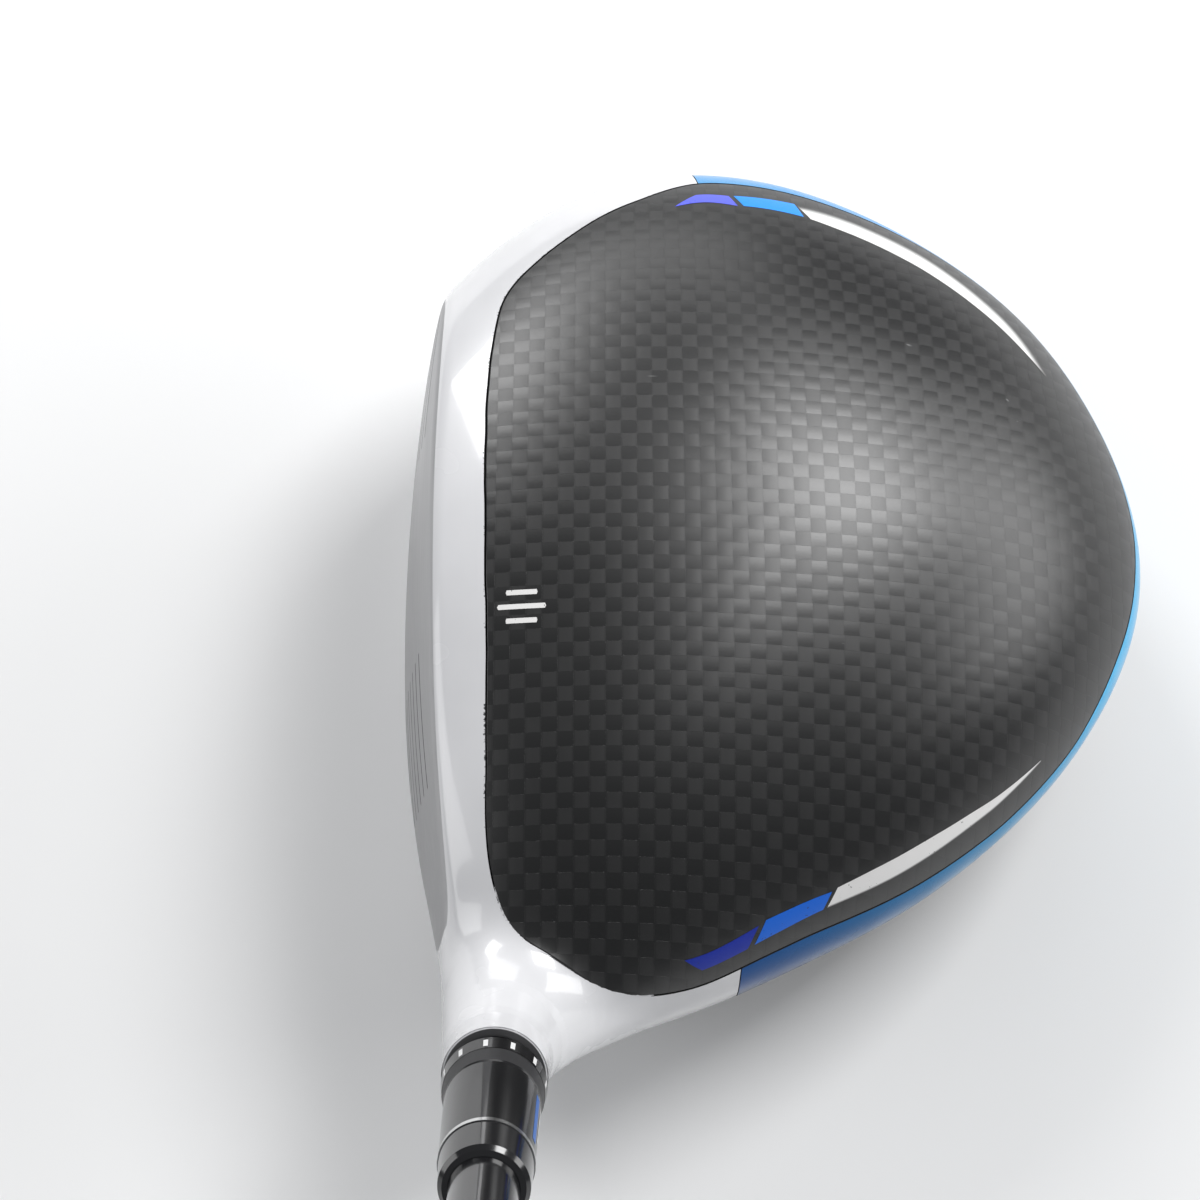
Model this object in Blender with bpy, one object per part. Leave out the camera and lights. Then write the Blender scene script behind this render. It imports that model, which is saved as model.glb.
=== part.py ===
"""Golf driver: 460 cc head, adjustable shaft sleeve, graphite shaft and grip.

Every length below is in millimetres and is scaled to metres when a mesh is made.
Frame: origin on the ground under the sole, -X to the target, +Y to the toe, +Z up.
"""
import math

import bmesh
import bpy
import numpy as np
from mathutils import Vector

MM = 0.001
PI = math.pi

# Head body: an egg whose plan outline is given every 20 degrees from +X, anticlockwise.
HEAD_CENTRE = (6.0, 0.0)
OUTLINE_RADII = (58.5, 59.3, 60.2, 61.3, 63.8, 66.5, 66.0, 64.0, 63.5,
                 64.0, 65.5, 70.0, 76.5, 67.5, 57.4, 53.5, 53.0, 55.2)
EQUATOR_HEIGHT = 34.4
EQUATOR_SLOPE = -0.13
CROWN_RISE = 27.5
SOLE_DROP = 31.6

# Club face: a lofted surface with bulge and roll.
FACE_CENTRE = np.array([-47.6, 0.0, 30.0])
LOFT = math.radians(9.0)
BULGE_RADIUS = 305.0
FACE_RIM = 3.4
FACE_LEDGE = 6.6
FACE_PLATE_THICKNESS = 2.6
FACE_HEEL_LIMIT = 50.0
CREASE_ROUND = 2.6
CAST_CENTRE = np.array([0.0, 0.0, 40.0])

# Openings and seats for the panels: (angle in degrees, fraction of the outline).
PANEL_EDGE = ((0, 0.965), (20, 0.975), (45, 0.970), (62, 0.953), (77, 0.925), (99, 0.905),
              (108, 0.862), (121, 0.838), (134, 0.828), (138, 0.815), (146, 0.757),
              (154, 0.709), (164, 0.667), (175, 0.643), (188, 0.645), (200, 0.662),
              (214, 0.718), (223, 0.770), (229, 0.800), (234, 0.818), (239, 0.838),
              (245, 0.880), (252, 0.930), (258, 0.955), (265.5, 0.962), (275, 0.965),
              (290, 0.975), (310, 0.985), (330, 0.985), (345, 0.970))
SOLE_EDGE = 0.972
SOLE_FRONT = 22.0
TOE_JOINT = math.radians(99.0)
HEEL_JOINT = math.radians(265.5)
PANEL_SEAT = 1.6
PANEL_THICKNESS = 1.2
LEDGE_THICKNESS = 1.2
LEDGE_LENGTH = 5.0
DEEP_SEAT = 3.7
RING_WALL = 3.2
GAP = 0.3

# Shaft line: hosel axis at 58 degrees, shaft axis at 56 degrees, both seen from the front.
HOSEL_TOP = np.array([-32.0, -79.0, 59.0])
HOSEL_ANGLE = math.radians(58.0)
SHAFT_ANGLE = math.radians(56.0)
HOSEL_AXIS = np.array([0.0, -math.cos(HOSEL_ANGLE), math.sin(HOSEL_ANGLE)])
SHAFT_AXIS = np.array([0.0, -math.cos(SHAFT_ANGLE), math.sin(SHAFT_ANGLE)])
BEND_DEPTH = 14.0
BEND_POINT = HOSEL_TOP - BEND_DEPTH * HOSEL_AXIS
SHAFT_BASE = BEND_POINT + BEND_DEPTH * SHAFT_AXIS
HOSEL_BORE = 5.6
BORE_DEPTH = 33.6
SCREW_PASSAGE = 3.0
SHOULDER_DEPTH = 37.0
SCREW_RECESS = 4.6
SCREW_SHANK = 2.3
SCREW_HEAD = 4.0
TUBE_RADIUS = 5.3
SHAFT_SOCKET = 4.45
TRIM_RADIUS = 5.95
ROUND = 40

# Neck sections: depth below the hosel top, then half widths to the rear, toe, front, heel.
NECK = ((0.0, 6.9, 6.9, 6.9, 6.9), (5.0, 7.2, 7.2, 7.1, 7.0), (10.0, 8.8, 8.8, 7.5, 7.1),
        (16.0, 13.0, 11.5, 8.0, 7.3), (22.0, 18.0, 13.5, 8.2, 7.5),
        (30.0, 22.0, 13.5, 8.0, 7.6), (38.0, 18.0, 11.0, 7.6, 6.8),
        (45.0, 8.0, 7.2, 6.8, 5.2), (52.0, 5.6, 5.6, 5.6, 2.6))

# Slot in the sole and the filling port at the toe.
SLOT_CENTRE = np.array([-27.0, -2.0, 0.0])
SLOT_HALF_LENGTH = 31.0
SLOT_HALF_WIDTH = 1.9
PORT_THETA = math.radians(124.0)
PORT_TAU = math.radians(100.0)
PORT_RADIUS = 2.9

# Keel under the sole and its weight.
KEEL_FRONT = -19.0
KEEL_REAR = 60.0
KEEL_GAP = 0.8
WEIGHT_RADIUS = 7.5
WEIGHT_X = 51.0
WEIGHT_TILT = math.radians(10.0)
WEIGHT_DEPTH = 3.4
KEEL_FLAT_END = 8.0
KEEL_RISE = 0.0018
WEIGHT_AXIS = np.array([math.sin(WEIGHT_TILT), 0.0, -math.cos(WEIGHT_TILT)])
WEIGHT_SEAT = np.array([WEIGHT_X, 0.0, (WEIGHT_X - KEEL_FLAT_END) ** 2 * KEEL_RISE - 0.4])
DRIVE_RADIUS = 2.3

# Shaft and grip, measured along the shaft from the hosel top.
SHAFT_TIP = -21.6
SHAFT_END = 1087.0
TIP_RADIUS = 4.25
BUTT_RADIUS = 7.6
GRIP_START = 821.0


def outline_radius(theta):
    """Plan radius of the head at an angle, smooth through every listed radius."""
    coeffs = np.fft.rfft(OUTLINE_RADII) / len(OUTLINE_RADII)
    k = np.arange(len(coeffs))
    weight = np.where(k == 0, 1.0, 2.0)
    weight[-1] = 1.0
    return np.real(np.exp(1j * np.multiply.outer(theta, k)) @ (coeffs * weight))


def equator_height(x):
    """Height of the widest line of the head."""
    return EQUATOR_HEIGHT + EQUATOR_SLOPE * (x - HEAD_CENTRE[0])


def sole_power(theta):
    """The sole is flat toward the face and rounder toward the rear."""
    return 2.4 + 4.6 * ((1 - np.cos(theta)) / 2) ** 2


def polar(x, y):
    """Plan angle and fraction of the outline for a point."""
    dx = x - HEAD_CENTRE[0]
    dy = y - HEAD_CENTRE[1]
    theta = np.arctan2(dy, dx)
    return theta, np.hypot(dx, dy) / outline_radius(theta)


def crown_z(x, y):
    """Height of the crown."""
    _, rho = polar(x, y)
    return equator_height(x) + CROWN_RISE * np.sqrt(np.clip(1 - rho ** 2, 0, 1))


def sole_z(x, y):
    """Height of the sole."""
    theta, rho = polar(x, y)
    drop = SOLE_DROP + EQUATOR_SLOPE * (x - HEAD_CENTRE[0])
    return equator_height(x) - drop * np.sqrt(np.clip(1 - rho ** sole_power(theta), 0, 1))


def body_point(theta, tau):
    """Point on the head: tau is 0 at the crown centre, pi/2 at the equator, pi at the sole."""
    theta, tau = np.broadcast_arrays(np.asarray(theta, float), np.asarray(tau, float))
    low = tau > PI / 2
    rho = np.sin(tau) ** (2 / np.where(low, sole_power(theta), 2.0))
    radius = rho * outline_radius(theta)
    x = HEAD_CENTRE[0] + radius * np.cos(theta)
    y = HEAD_CENTRE[1] + radius * np.sin(theta)
    amount = np.where(low, SOLE_DROP + EQUATOR_SLOPE * (x - HEAD_CENTRE[0]), CROWN_RISE)
    return np.stack([x, y, equator_height(x) + amount * np.cos(tau)], -1)


def unit(v):
    """Rows of v scaled to length one."""
    return v / np.linalg.norm(v, axis=-1, keepdims=True)


def body_normal(theta, tau):
    """Outward normal of the head."""
    step = 1e-3
    along = body_point(theta + step, tau) - body_point(theta - step, tau)
    down = body_point(theta, tau + step) - body_point(theta, tau - step)
    return unit(np.cross(down, along))


def shell_point(theta, tau, depth):
    """Point under the head surface by a depth along the normal."""
    depth = np.asarray(depth, float)[..., None]
    return body_point(theta, tau) - depth * body_normal(theta, tau)


def tau_step(theta, tau, length):
    """Change of tau that moves a length over the surface."""
    step = 1e-3
    speed = np.linalg.norm(body_point(theta, tau + step) - body_point(theta, tau - step), axis=-1)
    return length / (speed / (2 * step))


def tau_of(theta, rho, low):
    """Profile angle for a fraction of the outline."""
    power = np.where(low, sole_power(theta), 2.0)
    up = np.arcsin(np.clip(rho, 0, 1) ** (power / 2))
    return np.where(low, PI - up, up)


def smooth_ring(degrees, values, width):
    """Periodic curve through listed values, softened over a width in degrees."""
    grid = np.arange(0, 360, 0.5)
    base = np.interp(grid, degrees, values, period=360)
    half = int(width)
    kernel = np.hanning(2 * half + 3)[1:-1]
    kernel = kernel / kernel.sum()
    padded = np.concatenate([base[-half:], base, base[:half]])
    return grid, np.convolve(padded, kernel, mode="valid")


def panel_rho(theta):
    """Fraction of the outline where the crown panel ends."""
    degrees, values = zip(*PANEL_EDGE)
    grid, curve = smooth_ring(degrees, values, 7)
    return np.interp(np.degrees(theta) % 360, grid, curve, period=360)


def sole_rho(theta):
    """Fraction of the outline where the sole panel ends."""
    grid = np.arange(0, 360, 2.0)
    cosine = np.cos(np.radians(grid))
    ahead = np.where(cosine < -0.05, SOLE_FRONT / np.maximum(-cosine, 0.05), 999.0)
    ahead = ahead / outline_radius(np.radians(grid))
    rho = (ahead ** -4.0 + SOLE_EDGE ** -4.0) ** -0.25
    dense, curve = smooth_ring(grid, rho, 8)
    return np.interp(np.degrees(theta) % 360, dense, curve, period=360)


def crown_tau(theta):
    """Profile angle of the crown panel edge."""
    return tau_of(theta, panel_rho(theta), False)


def sole_tau(theta):
    """Profile angle of the sole panel edge."""
    return tau_of(theta, sole_rho(theta), True)


# ---------------------------------------------------------------- mesh helpers

def material(name, colour, metallic, roughness):
    """Plain material for one node."""
    mat = bpy.data.materials.new(name)
    mat.use_nodes = True
    shader = mat.node_tree.nodes["Principled BSDF"]
    shader.inputs["Base Color"].default_value = (*colour, 1.0)
    shader.inputs["Metallic"].default_value = metallic
    shader.inputs["Roughness"].default_value = roughness
    return mat


def make(name, points, faces, smooth=True):
    """Closed object from points in millimetres."""
    mesh = bpy.data.meshes.new(name)
    mesh.from_pydata([tuple(float(c) * MM for c in p) for p in points], [], faces)
    bm = bmesh.new()
    bm.from_mesh(mesh)
    bmesh.ops.remove_doubles(bm, verts=bm.verts, dist=1e-7)
    bmesh.ops.triangulate(bm, faces=[f for f in bm.faces if len(f.verts) > 4])
    bmesh.ops.recalc_face_normals(bm, faces=bm.faces)
    bm.to_mesh(mesh)
    bm.free()
    obj = bpy.data.objects.new(name, mesh)
    bpy.context.scene.collection.objects.link(obj)
    for poly in mesh.polygons:
        poly.use_smooth = smooth
    return obj


def grid_faces(rows, cols, wrap_rows, wrap_cols):
    """Quads of a rows by cols grid."""
    faces = []
    for i in range(rows if wrap_rows else rows - 1):
        for j in range(cols if wrap_cols else cols - 1):
            k = (i + 1) % rows
            m = (j + 1) % cols
            faces.append((i * cols + j, i * cols + m, k * cols + m, k * cols + j))
    return faces


def swept(name, sections, closed):
    """Solid whose cross-sections are closed loops; open sweeps get end caps."""
    rows, cols = sections.shape[:2]
    faces = grid_faces(rows, cols, closed, True)
    if not closed:
        faces.append(tuple(range(cols)))
        faces.append(tuple((rows - 1) * cols + j for j in range(cols)))
    return make(name, sections.reshape(-1, 3), faces)


def frame_of(axis):
    """Two directions square to an axis; the first is +X made square."""
    first = np.array([1.0, 0.0, 0.0]) - axis * axis[0]
    first = first / np.linalg.norm(first)
    return first, np.cross(axis, first)


def revolved(name, profile, origin, axis, segments=ROUND):
    """Solid turned from a closed profile of (distance along axis, radius) points."""
    first, second = frame_of(axis)
    points = []
    loops = []
    for along, radius in profile:
        base = origin + along * axis
        if radius <= 0:
            loops.append([len(points)] * segments)
            points.append(base)
            continue
        loops.append([])
        for k in range(segments):
            angle = 2 * PI * k / segments
            loops[-1].append(len(points))
            points.append(base + radius * (math.cos(angle) * first + math.sin(angle) * second))
    faces = []
    count = len(profile)
    for i in range(count):
        one = loops[i]
        two = loops[(i + 1) % count]
        for k in range(segments):
            quad = [one[k], one[(k + 1) % segments], two[(k + 1) % segments], two[k]]
            face = tuple(dict.fromkeys(quad))
            if len(face) > 2:
                faces.append(face)
    return make(name, points, faces)


def prism(name, outline, axis, start, end, origin):
    """Straight block on a closed outline of (first, second) offsets along an axis."""
    first, second = frame_of(axis)
    ring = [origin + a * first + b * second for a, b in outline]
    low = [p + start * axis for p in ring]
    high = [p + end * axis for p in ring]
    return swept(name, np.array([low, high]), False)


def combine(target, cutter, operation):
    """Boolean with the exact solver; the cutter is removed."""
    modifier = target.modifiers.new(operation, "BOOLEAN")
    modifier.solver = "EXACT"
    modifier.operation = operation
    modifier.object = cutter
    bpy.context.view_layer.update()
    graph = bpy.context.evaluated_depsgraph_get()
    mesh = bpy.data.meshes.new_from_object(target.evaluated_get(graph))
    target.modifiers.clear()
    old = target.data
    target.data = mesh
    mesh.name = target.name
    bpy.data.meshes.remove(old)
    bpy.data.objects.remove(cutter)
    tidy(target)


def tidy(target):
    """Merge coincident points left by a boolean and face everything outward."""
    bm = bmesh.new()
    bm.from_mesh(target.data)
    bmesh.ops.remove_doubles(bm, verts=bm.verts, dist=1e-6)
    bmesh.ops.dissolve_degenerate(bm, edges=bm.edges, dist=1e-6)
    bmesh.ops.triangulate(bm, faces=bm.faces)
    bmesh.ops.recalc_face_normals(bm, faces=bm.faces)
    bm.to_mesh(target.data)
    bm.free()


# ---------------------------------------------------------------- face

def face_point(psi, reach, depth=0.0):
    """Point on the club face: psi is 0 to the toe and 90 degrees up."""
    psi = np.asarray(psi, float)
    normal = np.array([-math.cos(LOFT), 0.0, math.sin(LOFT)])
    up = np.array([math.sin(LOFT), 0.0, math.cos(LOFT)])
    across = reach * np.cos(psi)
    rise = reach * np.sin(psi)
    sag = reach ** 2 / (2 * BULGE_RADIUS) + depth
    return (FACE_CENTRE + across[..., None] * np.array([0.0, 1.0, 0.0])
            + rise[..., None] * up - sag[..., None] * normal)


def inside_body(points):
    """True for points within the egg."""
    _, rho = polar(points[..., 0], points[..., 1])
    low = points[..., 2] > sole_z(points[..., 0], points[..., 1])
    high = points[..., 2] < crown_z(points[..., 0], points[..., 1])
    return (rho < 1) & low & high


def crease_reach(psi):
    """Distance from the face centre to the edge where the face meets the body."""
    near = np.zeros_like(psi)
    far = np.full_like(psi, 90.0)
    for _ in range(40):
        middle = (near + far) / 2
        within = inside_body(face_point(psi, middle))
        near = np.where(within, middle, near)
        far = np.where(within, far, middle)
    return near


def plate_reach(psi, reach, inset):
    """Outline of the face plate, kept clear of the hosel at the heel."""
    limit = np.where(np.cos(psi) < -0.1, FACE_HEEL_LIMIT / np.maximum(-np.cos(psi), 0.1), 999.0)
    return np.minimum(reach, limit + FACE_RIM) - inset


def to_surface(points):
    """Angles (theta, tau) of points that lie on the egg."""
    theta, rho = polar(points[..., 0], points[..., 1])
    low = points[..., 2] < equator_height(points[..., 0])
    return theta % (2 * PI), tau_of(theta, rho, low)


def even_spacing(points, count):
    """Indices that split a curve of points into equal lengths."""
    length = np.concatenate([[0], np.cumsum(np.linalg.norm(np.diff(points, axis=0), axis=1))])
    wanted = np.linspace(0, length[-1], count + 1)[:-1]
    return np.interp(wanted, length, np.arange(len(points)))


def rear_boundary():
    """Closed edge of the front body: crown panel, heel joint, sole panel, toe joint."""
    counts = (44, 7, 38, 7)
    fine = np.linspace(0, 1, 400)
    crown_theta = TOE_JOINT + (HEEL_JOINT - TOE_JOINT) * fine
    sole_theta = crown_theta[::-1]
    heel_tau = crown_tau(HEEL_JOINT) + (sole_tau(HEEL_JOINT) - crown_tau(HEEL_JOINT)) * fine
    toe_tau = sole_tau(TOE_JOINT) + (crown_tau(TOE_JOINT) - sole_tau(TOE_JOINT)) * fine
    parts = ((crown_theta, crown_tau(crown_theta)),
             (np.full(400, HEEL_JOINT), heel_tau),
             (sole_theta, sole_tau(sole_theta)),
             (np.full(400, TOE_JOINT), toe_tau))
    theta = []
    tau = []
    for (part_theta, part_tau), count in zip(parts, counts):
        where = even_spacing(body_point(part_theta, part_tau), count)
        theta.append(np.interp(where, np.arange(400), part_theta))
        tau.append(np.interp(where, np.arange(400), part_tau))
    return np.concatenate(theta), np.concatenate(tau), counts


def chart(points):
    """Angles of points seen from inside the head: round the target axis and away from it."""
    d = points - CAST_CENTRE
    turn = np.arctan2(d[..., 2], d[..., 1])
    return turn, np.arctan2(np.hypot(d[..., 1], d[..., 2]), -d[..., 0])


def cast(turn, away):
    """Point of the egg in a direction from inside the head."""
    direction = np.stack([-np.cos(away), np.sin(away) * np.cos(turn),
                          np.sin(away) * np.sin(turn)], -1)
    near = np.zeros(turn.shape)
    far = np.full(turn.shape, 160.0)
    for _ in range(45):
        middle = (near + far) / 2
        within = inside_body(CAST_CENTRE + middle[..., None] * direction)
        near = np.where(within, middle, near)
        far = np.where(within, far, middle)
    return CAST_CENTRE + near[..., None] * direction


def front_psi(turn):
    """Face angle whose crease point has a given turn round the target axis."""
    fine = np.linspace(-PI, PI, 721)
    seen, _ = chart(face_point(fine, crease_reach(fine)))
    seen = np.unwrap(seen)
    order = np.arange(-1, 2)[:, None] * 2 * PI
    return np.interp(turn, (seen + order)[:, :-1].ravel(), (fine + order)[:, :-1].ravel())


def front_sections():
    """Cross-sections of the front body, one for each station round the face."""
    theta_b, tau_b, counts = rear_boundary()
    turn_b, away_b = chart(body_point(theta_b, tau_b))
    turn_b = np.unwrap(turn_b)
    psi = front_psi(turn_b)
    reach = crease_reach(psi)
    crease = face_point(psi, reach)
    turn_c, away_c = chart(crease)
    turn_c = turn_b + (turn_c - turn_b + PI) % (2 * PI) - PI
    theta_c, tau_c = to_surface(crease)
    total = len(psi)
    crown_n, heel_n, sole_n, toe_n = counts
    station = np.arange(total)

    # side is 1 on and next to the two joints, then falls to 0 along the crown and the sole
    heel_a = crown_n
    heel_b = crown_n + heel_n
    toe_a = crown_n + heel_n + sole_n
    distance = np.minimum(np.maximum(heel_a - station, station - heel_b),
                          np.minimum(np.maximum(toe_a - station, station - total),
                                     np.maximum(-station, station)))
    side = np.clip(1 - np.maximum(distance - 3, 0) / 4.0, 0, 1)
    on_joint = np.clip(1 - np.maximum(distance, 0) / 4.0, 0, 1)
    low = tau_b > PI / 2
    toward_toe = np.abs(theta_b - TOE_JOINT) < np.abs(theta_b - HEEL_JOINT)
    turn = np.where(toward_toe, -1.0, 1.0) * on_joint * LEDGE_LENGTH / outline_radius(theta_b)
    inward = np.where(low, 1.0, -1.0) * (1 - on_joint) * tau_step(theta_b, tau_b, LEDGE_LENGTH)
    theta_l = theta_b + turn
    tau_l = tau_b + inward
    seat = PANEL_SEAT + (DEEP_SEAT - PANEL_SEAT) * side
    under = seat + LEDGE_THICKNESS

    face_out = np.broadcast_to(np.array([-math.cos(LOFT), 0.0, math.sin(LOFT)]), crease.shape)
    body_out = body_normal(theta_c, tau_c)
    length = np.linalg.norm(body_point(theta_b, tau_b) - crease, axis=1)
    first = np.clip(CREASE_ROUND / length, 0.02, 0.45)

    def along(fraction):
        turn = turn_c + (turn_b - turn_c) * fraction
        return to_surface(cast(turn, away_c + (away_b - away_c) * fraction))

    edge = plate_reach(psi, reach, FACE_RIM)
    ledge = plate_reach(psi, reach, FACE_LEDGE)
    start = face_point(psi, np.maximum(reach - CREASE_ROUND, edge + 0.2))
    finish = body_point(*along(first))
    loops = [face_point(psi, edge), start]
    for t in (0.25, 0.5, 0.75):
        loops.append((1 - t) ** 2 * start + 2 * t * (1 - t) * crease + t ** 2 * finish)
    loops.append(finish)
    for k in range(1, 8):
        loops.append(body_point(*along(first + (1 - first) * k / 7)))
    loops.append(shell_point(theta_b, tau_b, seat))
    loops.append(shell_point(theta_l, tau_l, seat))
    loops.append(shell_point(theta_l, tau_l, under))
    for k in range(1, 6):
        blend = k / 5
        fraction = 1 - (1 - first) * blend
        loops.append(shell_point(*along(fraction), under * (1 - blend) + 3.4 * blend))
    cosine = np.sum(face_out * body_out, axis=1)[:, None]
    loops.append(crease - 3.9 * (face_out + body_out) / (1 + cosine))
    back = FACE_PLATE_THICKNESS + GAP
    loops.append(face_point(psi, ledge, back + 1.3))
    loops.append(face_point(psi, ledge, back))
    loops.append(face_point(psi, edge, back))
    return np.stack(loops, 1)


def hosel_section(depth, rear, toe, front, heel):
    """One loop of the neck round the hosel axis; the second direction points to the toe."""
    first, second = frame_of(HOSEL_AXIS)
    loop = []
    for k in range(ROUND):
        angle = 2 * PI * k / ROUND
        c = math.cos(angle)
        s = math.sin(angle)
        wide = rear if c > 0 else front
        high = toe if s > 0 else heel
        loop.append(HOSEL_TOP - depth * HOSEL_AXIS + c * wide * first + s * high * second)
    return loop


def hosel_neck():
    """Neck that flares from the round hosel end into the heel."""
    return swept("neck", np.array([hosel_section(*row) for row in NECK]), False)


def polar_solid(name, edge, low, depth_out, depth_in, rings, segments, lift=None):
    """Skin patch of the head inside an edge, between two depths; lift flattens its top."""
    theta = np.linspace(0, 2 * PI, segments, endpoint=False)
    limit = edge(theta)
    pole = PI if low else 0.0
    points = []
    for depth, flip in ((depth_out, False), (depth_in, True)):
        for k in range(1, rings + 1):
            tau = pole + (limit - pole) * k / rings
            loop = shell_point(theta, tau, np.full(segments, depth))
            if lift is not None and not flip:
                loop = loop.copy()
                loop[:, 2] = lift
            points.append(loop)
        centre = shell_point(np.zeros(1), np.full(1, pole + (1e-3 if not low else -1e-3)),
                             np.full(1, depth))
        if lift is not None and not flip:
            centre = centre.copy()
            centre[:, 2] = lift
        points.append(centre)
    outer = rings * segments
    flat = np.concatenate(points)
    faces = []
    for base in (0, outer + 1):
        for k in range(rings - 1):
            for j in range(segments):
                m = (j + 1) % segments
                a = base + k * segments
                faces.append((a + j, a + m, a + segments + m, a + segments + j))
        for j in range(segments):
            faces.append((base + outer, base + j, base + (j + 1) % segments))
    rim = (rings - 1) * segments
    for j in range(segments):
        m = (j + 1) % segments
        a = rim
        b = outer + 1 + rim
        faces.append((a + j, a + m, b + m, b + j))
    return make(name, flat, faces)


def panel_limit(inset):
    """Crown panel edge pulled in by an inset."""
    def limit(theta):
        tau = crown_tau(theta)
        return tau - tau_step(theta, tau, inset)
    return limit


def sole_limit(inset):
    """Sole panel edge pulled in by an inset."""
    def limit(theta):
        tau = sole_tau(theta)
        return tau + tau_step(theta, tau, inset)
    return limit


def slot_outline(half_length, half_width):
    """Rounded slot in the plan of the sole."""
    outline = []
    for k in range(9):
        angle = -PI / 2 + PI * k / 8
        outline.append((half_width * math.sin(angle),
                        half_length - half_width + half_width * math.cos(angle)))
    for k in range(9):
        angle = PI / 2 + PI * k / 8
        outline.append((half_width * math.sin(angle),
                        -half_length + half_width + half_width * math.cos(angle)))
    return outline


def front_body():
    """Cast front body with face opening, panel seats, hosel, slot and screw recess."""
    body = swept("front_body", front_sections(), True)
    neck = hosel_neck()
    combine(neck, polar_solid("clear", panel_limit(0.0), False, 0.0, PANEL_SEAT, 10, 72, lift=90.0),
            "DIFFERENCE")
    combine(body, neck, "UNION")
    up = np.array([0.0, 0.0, 1.0])
    slot = prism("slot", slot_outline(SLOT_HALF_LENGTH, SLOT_HALF_WIDTH), up, -5.0, 22.0,
                 SLOT_CENTRE)
    combine(body, slot, "DIFFERENCE")
    bore = revolved("bore", ((6.0, 0), (6.0, HOSEL_BORE), (-BORE_DEPTH, HOSEL_BORE),
                             (-BORE_DEPTH, SCREW_PASSAGE), (-SHOULDER_DEPTH, SCREW_PASSAGE),
                             (-SHOULDER_DEPTH, SCREW_RECESS), (-80.0, SCREW_RECESS), (-80.0, 0)),
                    HOSEL_TOP, HOSEL_AXIS)
    combine(body, bore, "DIFFERENCE")
    where = body_point(PORT_THETA, PORT_TAU)
    normal = body_normal(PORT_THETA, PORT_TAU)
    port = revolved("port", ((3.0, 0), (3.0, PORT_RADIUS), (-6.0, PORT_RADIUS), (-6.0, 0)),
                    where, normal, 24)
    combine(body, port, "DIFFERENCE")
    return body


def face_plate():
    """Thin curved plate that closes the face opening."""
    psi = np.linspace(0, 2 * PI, 72, endpoint=False)
    edge = plate_reach(psi, crease_reach(psi), FACE_RIM + GAP)
    points = []
    rings = 5
    for depth in (0.0, FACE_PLATE_THICKNESS):
        for k in range(1, rings + 1):
            points.append(face_point(psi, edge * k / rings, depth))
        points.append(face_point(np.zeros(1), np.zeros(1), depth))
    flat = np.concatenate(points)
    faces = []
    for base in (0, rings * 72 + 1):
        for k in range(rings - 1):
            for j in range(72):
                m = (j + 1) % 72
                a = base + k * 72
                faces.append((a + j, a + m, a + 72 + m, a + 72 + j))
        for j in range(72):
            faces.append((base + rings * 72, base + j, base + (j + 1) % 72))
    for j in range(72):
        m = (j + 1) % 72
        a = (rings - 1) * 72
        faces.append((a + j, a + m, a + rings * 72 + 1 + m, a + rings * 72 + 1 + j))
    return make("face_plate", flat, faces)


def rear_ring():
    """Forged ring round the rear, with seats for both panels."""
    count = 60
    margin = GAP / 60.0
    theta = np.linspace(HEEL_JOINT + margin, TOE_JOINT + 2 * PI - margin, count)
    top = crown_tau(theta)
    bottom = sole_tau(theta)
    ends = np.minimum(np.arange(count), np.arange(count)[::-1])
    length = np.where(ends < 4, 0.9, LEDGE_LENGTH)
    length = np.where(ends == 4, 3.0, length)
    up = tau_step(theta, top, length)
    down = tau_step(theta, bottom, length)
    loops = []
    for k in range(9):
        loops.append(body_point(theta, top + (bottom - top) * k / 8))
    seat = np.full(count, PANEL_SEAT)
    under = seat + LEDGE_THICKNESS
    loops.append(shell_point(theta, bottom, seat))
    loops.append(shell_point(theta, bottom + down, seat))
    loops.append(shell_point(theta, bottom + down, under))
    for k in range(4):
        share = 0.92 - 0.84 * k / 3
        loops.append(shell_point(theta, top + (bottom - top) * share, np.full(count, RING_WALL)))
    loops.append(shell_point(theta, top - up, under))
    loops.append(shell_point(theta, top - up, seat))
    loops.append(shell_point(theta, top, seat))
    return swept("rear_ring", np.stack(loops, 1), False)


# ---------------------------------------------------------------- keel and weight

def keel_half_width(x):
    """Half width of the keel: widens to the rear, with both ends rounded in plan."""
    half = 9.5 + 4.5 * (x - KEEL_FRONT) / (KEEL_REAR - KEEL_FRONT)
    front = max(KEEL_FRONT + 9.0 - x, 0.0) / 10.5
    rear = max(x - KEEL_REAR + 11.0, 0.0) / 12.0
    return max(half * math.sqrt(1 - max(front, rear) ** 2), 4.0)


def keel_bottom(x):
    """Height of the keel underside: flat under the head, rising to the rear."""
    return 0.0 if x < KEEL_FLAT_END else (x - KEEL_FLAT_END) ** 2 * KEEL_RISE


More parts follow.
